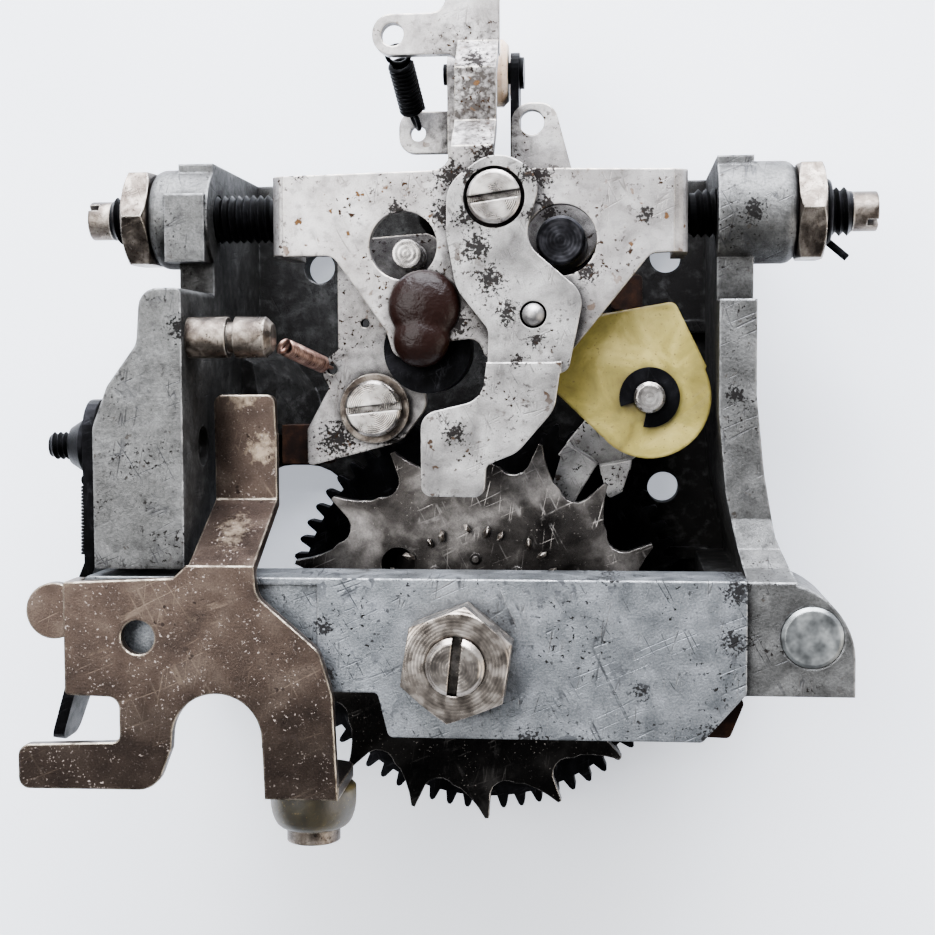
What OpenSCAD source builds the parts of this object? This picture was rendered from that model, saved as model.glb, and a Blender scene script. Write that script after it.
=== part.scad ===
// Coin mechanism of a mechanical parking meter, lying on its back.
// The origin is on the back rest face, under the axis of the main stud.
// +X runs to the right pivot, +Y towards the rocker's arm, +Z out of the back plate.

/* [Frame] */
// Thickness of the back plate
plate_t = 3.5; // [2.5:0.1:5]
// Inner face of the left wall, left of the main stud
wall_left = 27.9; // [26.5:0.1:30]
// Inner face of the right wall, right of the main stud
wall_right = 26; // [25.8:0.1:28]
// Thickness of the side walls
wall_t = 3.8; // [3:0.1:6]
// Top edge of the back plate and the walls
frame_top = 51; // [50.5:0.1:56]
// Bottom edge of the back plate
frame_bottom = 8; // [5.5:0.1:12]
// Height of the walls beside the pivots
wall_front = 25; // [24:0.1:27]
// Height of the right wall below its pivot
right_wall_front = 30; // [27:0.1:31]
// Height of the foot
foot_front = 37.5; // [34:0.1:38.5]
// Radius of the rounded end of the foot
foot_r = 7.7; // [6:0.1:9]
// Radius of the holes that fix the frame in its housing
fixing_r = 1.85; // [1.2:0.05:2.3]

/* [Pivots] */
// Distance of the rocker's axis above the main stud
pivot_y = 45.2; // [44.5:0.1:46]
// Height of the rocker's axis above the rest face
pivot_z = 22.5; // [22:0.1:23]
// Radius of the pivot bosses
boss_r = 5.4; // [4.5:0.1:5.8]
// Length of a boss outside its wall
boss_out = 3.4; // [2:0.1:5]
// Radius of the pivot screws
pivot_r = 2.6; // [2:0.05:3]
// Radius of the pivot screws' inner tips
tip_r = 1.7; // [1.2:0.05:2]
// Radius of the pivot screws' plain outer ends
plain_r = 2.1; // [1.4:0.05:2.4]
// Width of a lock nut across its flats
lock_nut_af = 9.9; // [8:0.1:11]
// Thickness of a lock nut
lock_nut_t = 2.8; // [2:0.1:4]

/* [Front bar] */
// Height of the bar's front face
bar_front = 38.5; // [38:0.1:40]
// Thickness of the bar
bar_t = 7.5; // [6:0.1:8.5]
// Left end of the bar
bar_left = 38.3; // [38:0.1:38.6]
// Right end of the bar, at the foot
bar_right = 28.3; // [27.8:0.1:29]
// Top edge of the bar
bar_top = 7.9; // [7:0.1:8.2]
// Depth of the bar below the main stud
bar_drop = 8.1; // [7:0.1:9]
// Depth of the bar's left part below the main stud
bar_left_drop = 3.6; // [3.2:0.1:3.7]
// Depth of the shallow pad at the bar's left end
pad_depth = 0.4; // [0.2:0.05:0.6]

/* [Main wheels] */
// Radius of the main stud
stud_r = 2.9; // [2:0.05:3.2]
// How far the main stud stands out of the bar's front face
stud_out = 5.5; // [5:0.1:7.5]
// Width of the main nut across its corners
main_nut_d = 11.7; // [10:0.1:13]
// Thickness of the main nut
main_nut_t = 4.5; // [3:0.1:5]
// Tip radius of the star wheel
star_r = 21.6; // [20:0.1:22.2]
// Root radius of the star wheel
star_root_r = 17.5; // [16.5:0.1:18.5]
// Number of star wheel teeth
star_teeth = 16; // [12:1:20]
// Height of the star wheel's front face
star_front = 20.1; // [19.8:0.1:20.3]
// Thickness of the star wheel
star_t = 1.5; // [1:0.1:1.8]
// Tip radius of the gear
gear_r = 23.8; // [22.5:0.1:23.9]
// Depth of the gear teeth
gear_tooth_h = 1.5; // [1:0.1:2]
// Number of gear teeth
gear_teeth = 68; // [50:1:80]
// Height of the gear's front face
gear_front = 8.1; // [7.8:0.1:9]
// Thickness of the gear
gear_t = 2; // [1.2:0.1:2.2]
// Tip radius of the ratchet behind the star wheel
ratchet_r = 15.8; // [14:0.1:16]
// Number of ratchet teeth
ratchet_teeth = 32; // [20:1:40]
// Radius of the wheels' hub
hub_r = 5.2; // [4.5:0.1:6]

/* [Rocker] */
// Height of the rocker plate's front face
rocker_front = 30; // [29.8:0.1:30.6]
// Thickness of the rocker plate
rocker_t = 1.5; // [1:0.1:1.8]
// Left ear's outer face
ear_left = 20.6; // [20:0.1:22]
// Right ear's outer face
ear_right = 22.8; // [22:0.1:24]
// Depth of the ears behind the plate's front face
ear_depth = 11.5; // [10.5:0.1:13]
// Width of the rocker's arm
arm_w = 4.4; // [3:0.1:4.8]
// Far end of the rocker's arm
arm_end = 71; // [68.5:0.1:76]
// Thickness of the finger
finger_t = 1.5; // [1:0.1:1.6]
// Forward step of the finger's lower part
finger_step = 1.2; // [0.8:0.1:1.4]
// Radius of the finger screw's head
finger_head_r = 2.75; // [2.2:0.05:2.9]
// Radius of the domed finger pin
finger_pin_r = 1.15; // [0.8:0.05:1.3]
// Radius of the eccentric bush
bush_r = 4.6; // [3.5:0.1:4.8]

/* [Cam] */
// Height of the cam's front face
cam_front = 25; // [23.5:0.1:25.4]
// Thickness of the cam
cam_t = 4.3; // [3:0.1:4.5]
// Radius of the cam's round end
cam_r = 6.5; // [5.5:0.1:6.7]
// Radius of the stud in the cam
cam_stud_r = 1.65; // [1.3:0.05:1.9]
// Radius of the stud below the cam
cam_post_r = 3; // [2.4:0.1:3.4]
// Outer radius of the retaining clip
clip_r = 3.2; // [2.8:0.1:3.6]

/* [Pawl lever] */
// Height of the lever's front face
lever_front = 22; // [21.7:0.1:22.3]
// Thickness of the lever
lever_t = 1.5; // [1:0.1:1.6]
// Radius of the lever's pillar
lever_post_r = 2.5; // [2.2:0.1:2.8]
// Radius of the lever screw's shoulder
shoulder_r = 2; // [1.7:0.05:2.2]
// Radius of the lever screw's head
lever_head_r = 3.05; // [2.5:0.05:3.4]
// Outer radius of the collar under the head
collar_r = 3.8; // [3.4:0.1:4.2]
// Radius of the lever's bright pin
lever_pin_r = 1.5; // [1:0.05:1.7]
// Radius of the grooved spring post
spring_post_r = 2.1; // [1.6:0.1:2.4]
// Length of the grooved spring post
spring_post_l = 8.7; // [7:0.1:9.5]

/* [Upper and back levers] */
// Radius of the dark upper stud
upper_stud_r = 2.6; // [2:0.05:2.8]
// Height of the dark upper stud
upper_stud_front = 28; // [25:0.1:28.1]
// Height of the small upper lever's front face
upper_front = 20.4; // [18:0.1:21]
// Thickness of the small upper lever
upper_t = 1.4; // [1:0.1:1.8]
// Radius of the roller on the back lever
back_roller_r = 3.8; // [3:0.1:4.3]
// Thickness of the back lever's cheeks
cheek_t = 1.2; // [0.8:0.1:1.4]

/* [Bracket] */
// Thickness of the bracket's sheet
sheet_t = 1.2; // [0.8:0.1:1.3]
// Gap between the bracket and the bar
bracket_gap = 0.7; // [0.6:0.05:1]
// Height of the set-back tab's front face
tab_front = 29; // [27:0.1:31]
// Top end of the set-back tab
tab_top = 26.1; // [22:0.1:28]
// Radius of the arch between the hook and the leg
arch_r = 4.6; // [3.8:0.1:4.7]
// Radius of the bracket's round hole
bracket_hole_r = 1.75; // [1.2:0.05:2.2]
// Lower end of the bracket's leg
leg_end = 14.2; // [13:0.1:16]
// Radius of the roller on the leg
leg_roller_r = 4.5; // [3.5:0.1:4.7]
// Length of the roller on the leg
leg_roller_l = 4.4; // [3:0.1:6]

/* [Outer lever] */
// Thickness of the outer lever
outer_t = 1.2; // [0.8:0.1:1.3]
// Width of the outer lever
outer_w = 8; // [6:0.1:8]
// Radius of the outer stud
outer_stud_r = 1.5; // [1.2:0.05:1.8]

/* [Clearances] */
// Radial clearance of a shaft in its hole
fit = 0.05; // [0.02:0.01:0.09]
// Side clearance between parts that pass each other
side_gap = 0.3; // [0.2:0.05:0.4]
// Radius of the rivet ends of the studs
tenon_r = 1.6; // [1.2:0.05:1.6]
// Depth by which rivet and screw ends lie inside the rest face
flush = 0.3; // [0.2:0.05:0.5]

/* [Hidden] */
$fn = 96;
cut = 0.5; // how far a cutting shape runs past the face it cuts

cast = "#8e9496";
nickel = "#c9c5c4";
dark_steel = "#4a4543";
bronze_plate = "#7d6b64";
black_steel = "#26262a";
nylon = "#c3b87f";

bar_back = bar_front - bar_t;
left_outer = wall_left + wall_t;
right_outer = wall_right + wall_t;
block_side = 37.2;
block_top = 37;
rocker_back = rocker_front - rocker_t;
lever_back = lever_front - lever_t;
bracket_back = bar_front + bracket_gap;
stud_front = bar_front + stud_out;
bracket_front = bracket_back + sheet_t;
nut_r = lock_nut_af / 2 / cos(30);

lever_at = [-10.8, 24.5];
cam_at = [19, 25.7];
upper_at = [9.7, 42.1];
fixings = [[-20.4, 41.1], [21.3, 42], [21.1, 14.5]];
bar_screws_at = [[-33.6, -0.4], [-33.6, 5.2], [26.7, 0]];
bar_screw_r = 1.25;
back_axis = [48.2, 9];
back_roller_at = [62.7, 10];
bracket_axis = [-1.2, bar_front - 1.9];
outer_axis = [20.8, 30.5];
spring_post_at = [32.05, 35.3];

// Unit vector along v
function unit(v) = v / norm(v);

// Points of an arc from angle a0 to a1
function arc(centre, r, a0, a1, n = 12) =
    [for (i = [0:n]) centre + r * [cos(a0 + (a1 - a0) * i / n), sin(a0 + (a1 - a0) * i / n)]];

// One corner at b between a and c, rounded to radius r
function corner(a, b, c, r, n = 6) =
    let (
        u = unit(a - b),
        v = unit(c - b),
        half = acos(max(-0.9999, min(0.9999, u * v))) / 2,
        centre = b + unit(u + v) * r / sin(half),
        p = b + u * r / tan(half) - centre,
        q = b + v * r / tan(half) - centre,
        a0 = atan2(p.y, p.x),
        turn = atan2(q.y, q.x) - a0,
        sweep = turn > 180 ? turn - 360 : turn < -180 ? turn + 360 : turn
    )
    r == 0 ? [b] : arc(centre, r, a0, a0 + sweep, n);

// Closed outline through corners given as [x, y, radius]
function outline(c) =
    let (n = len(c), p = [for (k = c) [k[0], k[1]]])
    [for (i = [0:n - 1]) each corner(p[(i + n - 1) % n], p[i], p[(i + 1) % n], c[i][2])];

// Open path moved sideways by d, with mitred bends
function shifted(path, d) =
    let (n = len(path))
    [for (i = [0:n - 1])
        let (
            a = unit(path[max(i, 1)] - path[max(i, 1) - 1]),
            b = unit(path[min(i, n - 2) + 1] - path[min(i, n - 2)]),
            m = unit([-a.y - b.y, a.x + b.x])
        )
        path[i] + m * d / (m * [-a.y, a.x])];

// Closed strip of thickness t on the left side of an open path
function strip(path, t) =
    let (back = shifted(path, t), n = len(path))
    concat(path, [for (i = [0:n - 1]) back[n - 1 - i]]);

// Flat plate from z0 up to z1
module plate(z0, z1) {
    translate([0, 0, z0]) linear_extrude(height = z1 - z0) children();
}

// Shape drawn in Y and Z, drawn out along X
module along_x(x0, x1) {
    translate([x0, 0, 0]) rotate([90, 0, 90]) linear_extrude(height = x1 - x0) children();
}

// Shape drawn in X and Z, drawn out along Y
module along_y(y0, y1) {
    translate([0, y1, 0]) rotate([90, 0, 0]) linear_extrude(height = y1 - y0) children();
}

// Round bar along Z at a point in X and Y
module z_rod(at, z0, z1, r) {
    translate([at[0], at[1], z0]) cylinder(h = z1 - z0, r = r);
}

// Round bar along X at a point in Y and Z
module x_rod(at, x0, x1, r) {
    translate([x0, at[0], at[1]]) rotate([0, 90, 0]) cylinder(h = x1 - x0, r = r);
}

// Round bar along Y at a point in X and Z
module y_rod(at, y0, y1, r) {
    translate([at[0], y1, at[1]]) rotate([90, 0, 0]) cylinder(h = y1 - y0, r = r);
}

// Screw slot across a head whose face is at z
module slot(at, z, turn, w, depth) {
    translate([at[0], at[1], z]) rotate([0, 0, turn]) cube([20, w, 2 * depth], center = true);
}

// Hexagon nut with chamfered corners, from z = 0 to h
module hex_nut(r, h, bore) {
    chamfer = r * 0.13;
    difference() {
        intersection() {
            cylinder(h = h, r = r, $fn = 6);
            rotate_extrude()
                polygon([[0, 0], [r - chamfer, 0], [r, chamfer / 2], [r, h - chamfer / 2],
                    [r - chamfer, h], [0, h]]);
        }
        translate([0, 0, -cut]) cylinder(h = h + 2 * cut, r = bore);
    }
}

// Close-wound spring body of length l along Z, one ridge per turn, with a loop at each end
module spring_body(l, r, wire_r) {
    turns = floor(l / (2 * wire_r));
    pitch = l / turns;
    valley = r - 0.6 * wire_r;
    rotate_extrude($fn = 32)
        polygon(concat([[0, 0]], [for (i = [0:turns - 1]) each
            [[valley, i * pitch], [r, (i + 0.3) * pitch], [r, (i + 0.7) * pitch]]],
            [[valley, l], [0, l]]));
    for (z = [-r + wire_r, l + r - wire_r])
        translate([0, 0, z]) rotate([90, 0, 0])
            rotate_extrude($fn = 32) translate([r - wire_r, 0]) circle(r = wire_r);
}

// Spring between two points, the loops included
module spring_between(a, b, r, wire_r) {
    d = b - a;
    loop = 2 * r - 2 * wire_r;
    translate(a) rotate([0, acos(d.z / norm(d)), atan2(d.y, d.x)])
        translate([0, 0, loop]) spring_body(norm(d) - 2 * loop, r, wire_r);
}

// Rounded boss for a pivot screw, growing along +X from x = 0
module pivot_boss(l) {
    round_r = 1.4;
    rotate([0, 90, 0]) rotate_extrude()
        polygon(concat([[0, 0], [boss_r, 0]],
            arc([boss_r - round_r, l - round_r], round_r, 0, 90, 6), [[0, l]]));
}

foot_at = [31.2, 0];

// Outline of the foot, with its round end
module foot_shape() {
    polygon(concat([[bar_right, -bar_left_drop], [foot_at.x + foot_r, -bar_left_drop]],
        arc(foot_at, foot_r, 0, 90), [[bar_right, foot_r]]));
}

// Outline of the left block
module block_shape() {
    polygon(outline([[-wall_left, 8.7, 0], [-wall_left, block_top, 0.6], [-32.1, block_top, 2],
        [-32.5, 31.4, 2], [-35.6, 27.2, 2], [-block_side, 23, 3], [-block_side, 8.7, 0]]));
}

// Outline of the right wall, which curves out to the foot
module right_wall_shape(top) {
    polygon([[wall_right, top], [wall_right, 24], [wall_right + 0.7, 16], [bar_right, 8.2],
        [bar_right, -bar_left_drop], [foot_at.x + 2, -bar_left_drop], [foot_at.x + 2, foot_r],
        [right_outer + 1.9, 11.5], [right_outer + 0.8, 18], [right_outer, 26],
        [right_outer, top]]);
}

window = [-29.5, -16.5, -2, 17.1]; // left, right, bottom and top of the back plate's window
lug_x = 5.2; // inner faces of the back lever's lugs

module frame_solid() {
    plate(0, plate_t)
        polygon(outline([[-left_outer, -frame_bottom, 2], [right_outer, -frame_bottom, 2],
            [right_outer, frame_top, 0.5], [-left_outer, frame_top, 0.5]]));
    // left wall, pillar and block
    translate([-left_outer, 8, 0]) cube([wall_t, frame_top - 8, wall_front]);
    plate(21, bar_front) block_shape();
    plate(0, 21.5) polygon([[-wall_left, 8.7], [-wall_left, block_top - 1],
        [-left_outer, block_top - 1], [-left_outer, 24], [-block_side, 20], [-block_side, 8.7]]);
    translate([-block_side, -bar_left_drop + 0.4, 0])
        cube([block_side + window[0] - 1, 8.7 + bar_left_drop, bar_back]);
    // right wall, bar seat and foot
    plate(0, wall_front) right_wall_shape(frame_top);
    plate(wall_front - 1, right_wall_front) right_wall_shape(35.8);
    translate([24.9, -5, 0]) cube([bar_right - 24.9 + 0.6, 12.2, bar_back]);
    plate(24, foot_front) foot_shape();
    intersection() {
        along_x(wall_right, 40) polygon([[6, right_wall_front - 1], [6, foot_front],
            [foot_r, foot_front], [foot_r + 1, right_wall_front + 4],
            [foot_r + 2.6, right_wall_front + 1.4], [foot_r + 5.5, right_wall_front],
            [foot_r + 5.5, right_wall_front - 1]]);
        plate(right_wall_front - 1, foot_front) right_wall_shape(35.8);
    }
    // pivot bosses and the flat beside the left one
    translate([-wall_left, pivot_y, pivot_z]) mirror([1, 0, 0]) pivot_boss(wall_t + boss_out - 0.4);
    translate([wall_right, pivot_y, pivot_z]) pivot_boss(wall_t + boss_out + 1.1);
    translate([-wall_left - 4.6, pivot_y - 4.9, pivot_z - 2]) cube([4.3, 7.2, 7.5]);
    // sloping web in the left corner
    hull() {
        plate(plate_t - 1, plate_t)
            polygon([[-wall_left - 1, 33], [-24, 30.5], [-20.8, 26], [-19.8, 21.8],
                [-23, 20.6], [-wall_left - 1, 21]]);
        plate(12, 13) polygon([[-wall_left - 1, 31], [-26.6, 29.5], [-25.4, 22.5],
            [-wall_left - 1, 22]]);
    }
    // lugs of the back lever and low ribs
    for (x = [-lug_x - 2, lug_x])
        along_x(x, x + 2) polygon(outline([[45, plate_t - 1, 0], [50.6, plate_t - 1, 0],
            [50.6, 11.8, 1.6], [45.6, 11.8, 1.6]]));
    for (y = [6, 33])
        translate([15, y, plate_t - 1]) cube([11.5, 1.4, 2]);
}

module frame() {
    color(cast) difference() {
        frame_solid();
        plate(-cut, plate_t + cut)
            polygon(outline([[window[0], window[2], 2], [window[1], window[2], 2],
                [window[1], window[3], 5.5], [window[0], window[3], 5.5]]));
        // relief in the left wall beside the window
        translate([window[0] - 1, window[2], -cut]) cube([4, window[3] - window[2], 28.5]);
        z_rod([0, 0], -cut, plate_t + cut, stud_r + fit);
        z_rod([0, 0], -cut, 2.3, stud_r + 1.6);
        for (at = fixings)
            z_rod(at, -cut, plate_t + cut, fixing_r);
        for (at = bar_screws_at) {
            z_rod(at, -cut, bar_back + cut, bar_screw_r + fit);
            z_rod(at, -cut, 2.2, 2.35);
        }
        for (at = [lever_at, cam_at, upper_at])
            z_rod(at, -cut, plate_t + cut, tenon_r + fit);
        x_rod([pivot_y, pivot_z], -wall_left - 12, -wall_left + 4, pivot_r + fit);
        x_rod([pivot_y, pivot_z], wall_right - 4, wall_right + 12, pivot_r + fit);
        x_rod(back_axis, -lug_x - 3, lug_x + 3, 1.5 + fit);
        x_rod(outer_axis, -block_side - 1, -wall_left + 1, outer_stud_r + fit);
        x_rod(outer_axis, -wall_left - 0.9, -wall_left + 1, outer_stud_r + 0.6);
        x_rod(spring_post_at, -wall_left - 2.2, -wall_left + 1, 1.2 + fit);
        z_rod([34.7, 2.3], 25, foot_front + cut, 3.05 + fit);
    }
}

module front_bar() {
    color(cast) difference() {
        plate(bar_back, bar_front)
            polygon(outline([[-bar_left, bar_top, 0.4], [bar_right, bar_top, 0],
                [bar_right, -3.2, 0.6], [24, -bar_drop, 0.6], [-7.2, -bar_drop, 0.6],
                [-8.3, -bar_left_drop, 0.6], [-bar_left, -bar_left_drop, 0.4]]));
        z_rod([0, 0], bar_back - cut, bar_front + cut, stud_r + fit);
        translate([-bar_left - 1, -bar_left_drop - 1, bar_front - pad_depth])
            cube([bar_left + 1 - 14.35, bar_left_drop + 1 + bar_top - 0.7, 1]);
        for (at = bar_screws_at)
            z_rod(at, bar_back - cut, bar_back + 4.5, bar_screw_r + fit);
        x_rod(bracket_axis, -bar_left - 1, -bar_left + 6, 1.2 + fit);
    }
}

module main_stud() {
    color(nickel) difference() {
        rotate_extrude() polygon([[0, 0], [4.4, 0], [4.4, 2.3], [stud_r, 2.3],
            [stud_r, stud_front - 0.5], [stud_r - 0.5, stud_front], [0, stud_front]]);
        slot([0, 0], stud_front, 84, 1, 1.6);
    }
}

module main_nut() {
    color(bronze_plate) translate([0, 0, bar_front]) rotate([0, 0, 21])
        hex_nut(main_nut_d / 2, main_nut_t, stud_r + fit);
}

module foot_rivet() {
    color(cast) translate([34.7, 2.3, 0]) rotate_extrude()
        polygon([[0, 25], [3.05, 25], [3.05, foot_front + 0.1], [2.7, foot_front + 0.4],
            [0, foot_front + 0.4]]);
}

// Pivot screw whose tip points along -X, with its outer end at x = 0
module pivot_screw(plain_l, thread_end, tip_end) {
    difference() {
        rotate([0, -90, 0]) rotate_extrude()
            polygon([[0, 0], [plain_r - 0.2, 0], [plain_r, 0.2], [plain_r, plain_l],
                [pivot_r, plain_l + 0.3], [pivot_r, thread_end - 0.4], [tip_r, thread_end],
                [tip_r, tip_end], [0, tip_end]]);
        translate([0, 0, 0]) rotate([50, 0, 0]) cube([2.4, 0.8, 20], center = true);
    }
}

left_end = 42.1;
right_end = 42.8;

module left_pivot_screw() {
    color(black_steel) translate([-left_end, pivot_y, pivot_z]) mirror([1, 0, 0])
        pivot_screw(2.4, left_end - ear_left - side_gap, left_end - ear_left + rocker_t);
}

module right_pivot_screw() {
    color(black_steel) translate([right_end, pivot_y, pivot_z])
        pivot_screw(2.6, right_end - ear_right - side_gap, right_end - ear_right + rocker_t);
}

left_nut_x = left_outer + boss_out - 0.4;
right_nut_x = right_outer + boss_out + 1.1;

module left_lock_nut() {
    color(bronze_plate) translate([-left_nut_x - lock_nut_t, pivot_y, pivot_z])
        rotate([0, 90, 0]) hex_nut(nut_r, lock_nut_t, pivot_r + fit);
}

module right_lock_nut() {
    color(bronze_plate) translate([right_nut_x, pivot_y, pivot_z])
        rotate([0, 90, 0]) hex_nut(nut_r, lock_nut_t, pivot_r + fit);
}

module lock_wire() {
    wire_r = 0.4;
    ring_x = right_nut_x + lock_nut_t + wire_r + fit;
    color(black_steel) translate([ring_x, pivot_y, pivot_z]) union() {
        rotate([0, 90, 0]) rotate_extrude() translate([pivot_r + wire_r + fit, 0]) circle(r = wire_r);
        translate([0, -pivot_r - wire_r, 0]) rotate([90, 0, 50]) cylinder(h = 2.9, r = wire_r);
    }
}

module bar_screws() {
    color(dark_steel) for (at = bar_screws_at)
        difference() {
            union() {
                z_rod(at, flush, 2.2, 2.25);
                z_rod(at, 2.2, bar_back + 4, bar_screw_r);
            }
            slot(at, flush, 20, 0.7, 0.8);
        }
}

module corner_plate() {
    color(bronze_plate) plate(bar_back - sheet_t, bar_back)
        polygon(outline([[17.5, -9.1, 0.6], [27.2, -9.4, 0.6], [28.9, -5.2, 0.6],
            [22.3, -5.2, 0.6], [17.5, -6.4, 0.6]]));
}

module bump_stop() {
    color("#5a3322") plate(plate_t, 14)
        polygon(outline([[14.9, 35.4, 0.5], [18.4, 35.4, 0.5], [18.4, 39.3, 0.5], [14.9, 39.3, 0.5]]));
}

hub_back = plate_t + 0.6;
hub_front = bar_back - 0.5;

module wheel_hub() {
    color(dark_steel) difference() {
        union() {
            z_rod([0, 0], hub_back, hub_front, hub_r);
            z_rod([0, 0], star_front - star_t - 1.6, star_front - star_t, 9.2);
            z_rod([0, 0], gear_front, gear_front + 1.5, 8);
        }
        z_rod([0, 0], hub_back - cut, hub_front + cut, stud_r + fit);
    }
}

// Star wheel outline: steep flank on the left of each tooth, sloping flank on its right
function star_points() =
    let (step = 360 / star_teeth, depth = star_r - star_root_r)
    [for (i = [0:star_teeth - 1])
        let (a = 25.5 + i * step)
        each concat(
            [star_r * [cos(a - 0.5), sin(a - 0.5)], star_r * [cos(a + 0.6), sin(a + 0.6)],
                (star_root_r + depth * 0.32) * [cos(a + 1.6), sin(a + 1.6)]],
            [for (k = [0:4])
                let (u = k / 4, b = a + 2.8 + u * 8.4)
                (star_root_r + depth * 0.14 * pow(2 * u - 1, 2)) * [cos(b), sin(b)]],
            [for (q = [[14, 0.2], [17.3, 0.42], [19.9, 0.68]])
                (star_root_r + depth * q[1]) * [cos(a + q[0] * step / 22.5),
                    sin(a + q[0] * step / 22.5)]])];

module star_wheel() {
    z0 = star_front - star_t;
    color(dark_steel) difference() {
        union() {
            plate(z0, star_front) polygon(star_points());
            for (k = [0:9])
                rotate([0, 0, 18 + k * 36]) translate([7.7, 0, star_front - 0.2])
                    cylinder(h = 0.8, r1 = 0.75, r2 = 0.35, $fn = 24);
        }
        z_rod([0, 0], z0 - cut, star_front + cut, hub_r + fit);
        for (k = [0:1])
            rotate([0, 0, 141 + k * 180]) z_rod([11.2, 0], z0 - cut, star_front + cut, 1.9);
    }
}

// Outline of a gear whose teeth narrow to round tips
function gear_points(n, tip, h) =
    [for (i = [0:n - 1])
        for (q = [[-0.33, 1], [-0.25, 0.62], [-0.17, 0.2], [-0.07, 0], [0.07, 0], [0.17, 0.2],
                [0.25, 0.62], [0.33, 1]])
            let (a = (i + q[0]) * 360 / n)
            (tip - h * q[1]) * [cos(a), sin(a)]];

module gear_wheel() {
    color(black_steel) difference() {
        plate(gear_front - gear_t, gear_front)
            polygon(gear_points(gear_teeth, gear_r, gear_tooth_h));
        z_rod([0, 0], gear_front - gear_t - cut, gear_front + cut, hub_r + fit);
    }
}

ratchet_front = 16;

module ratchet_wheel() {
    step = 360 / ratchet_teeth;
    color(dark_steel) difference() {
        plate(ratchet_front - 1.7, ratchet_front)
            polygon([for (i = [0:ratchet_teeth - 1]) each
                [ratchet_r * [cos(i * step), sin(i * step)],
                    (ratchet_r - 1.2) * [cos(i * step + 1), sin(i * step + 1)]]]);
        z_rod([0, 0], ratchet_front - 1.7 - cut, ratchet_front + cut, hub_r + fit);
    }
}

arm_x = [0.6 - arm_w / 2, 0.6 + arm_w / 2];
arm_eye = [-8.7, 64.9];
arm_upper = 22; // height of the arm's front face at its far end

module rocker_plate() {
    arm_path = [[49, rocker_front], [51.4, rocker_front], [55, 25.6], [60.6, 25.6],
        [64, arm_upper], [arm_end, arm_upper]];
    color(nickel) difference() {
        union() {
            plate(rocker_back, rocker_front)
                polygon(outline([[-ear_left + 1.4, 48.9, 0], [arm_x[0], 49.3, 2], [arm_x[0], 51.8, 0],
                    [arm_x[1], 51.8, 0], [arm_x[1], 49.4, 2], [ear_right - 1.4, 49.1, 0],
                    [ear_right - 1.4, 40.7, 0], [19, 40.6, 1.5], [10, 29.5, 1.2], [2, 29.9, 0.8],
                    [1.2, 32, 1.4], [-2.4, 31.6, 0.8], [-4.7, 28.7, 3], [-7.7, 30.4, 1.4],
                    [-8.4, 32.8, 1], [-14, 40.6, 1.5], [-ear_left + 1.4, 40.6, 0]]));
            along_y(40.7, 48.9) ear_profile(-ear_left, 1);
            along_y(40.7, 49.1) ear_profile(ear_right, -1);
            along_x(arm_x[0], arm_x[1]) polygon(strip(arm_path, -rocker_t));
            plate(arm_upper - rocker_t, arm_upper)
                polygon(outline([[arm_x[0], 62.7, 1.3], [arm_x[0], 61.3, 0],
                    [arm_x[0] + 0.5, 61.3, 0], [arm_x[0] + 0.5, 62.6, 0],
                    [arm_x[1] + 0.1, 62.6, 0], [arm_x[1] + 0.1, arm_end, 1.5],
                    [arm_x[0] - 1.3, arm_end, 1.5], [arm_x[0] - 1.3, 67.1, 1.6],
                    [arm_eye.x - 2.2, 67.1, 2.1], [arm_eye.x - 2.2, 62.7, 2.1]]));
        }
        z_rod([-6.6, 41.6], rocker_back - cut, rocker_front + cut, 3.56);
        z_rod([9.8, 42], rocker_back - cut, rocker_front + cut, 3.7);
        z_rod(arm_eye, arm_upper - rocker_t - cut, arm_upper + cut, 1.25);
        z_rod([3, 46.3], rocker_back - cut, rocker_front + cut, 1.5 + fit);
        z_rod([7, 34.3], rocker_back - cut, rocker_front + cut, finger_pin_r + fit);
        z_rod([-4.7, 31.9], rocker_back - cut, rocker_front + cut, 1.25 + fit);
        x_rod([pivot_y, pivot_z], -ear_left - 1, ear_right + 1, tip_r + fit);
    }
}

// Bent ear of the rocker in X and Z; side points from the ear's outer face inwards
module ear_profile(x, side) {
    bend = 1.9;
    inner = x + side * rocker_t;
    top = rocker_front;
    polygon(concat([[x + side * 2.5, top], [x + side * bend, top]],
        [for (i = [1:6]) [x + side * bend - side * bend * sin(i * 15),
            top - bend + bend * cos(i * 15)]],
        [[x, top - ear_depth], [inner, top - ear_depth], [inner, top - bend],
            [x + side * bend, top - rocker_t], [x + side * 2.5, top - rocker_t]]));
}

finger_back = rocker_front;
finger_front = finger_back + finger_t;

module finger_lever() {
    color(nickel) difference() {
        union() {
            plate(finger_back, finger_front)
                polygon(outline([[-1.9, 42.4, 6], [-1.9, 47.6, 3.6], [3.2, 51.4, 4], [7.9, 48.4, 2.8],
                    [6, 41.7, 3], [12.2, 36.4, 2.6], [10.6, 28.6, 1.2], [9.8, 28.3, 0],
                    [2.3, 28.3, 0], [2.4, 32.8, 1.4], [-0.9, 37, 4]]));
            plate(finger_back + finger_step, finger_front + finger_step)
                polygon(outline([[2.3, 29.4, 0], [9.9, 29.4, 0], [9.2, 24.6, 3.5],
                    [5.4, 20.2, 3], [2.2, 18.9, 0.8], [2, 15.6, 1.1], [-4.5, 15.7, 1.1],
                    [-4.5, 24.1, 1.8], [1.8, 25.6, 2.5]]));
            translate([2.3, 28.3, finger_back]) cube([7.55, 1.1, finger_t + finger_step]);
        }
        z_rod([3, 46.3], finger_back - cut, finger_front + cut, 3.17);
        z_rod([7, 34.3], finger_back - cut, finger_front + cut, 1.4);
    }
}

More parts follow.
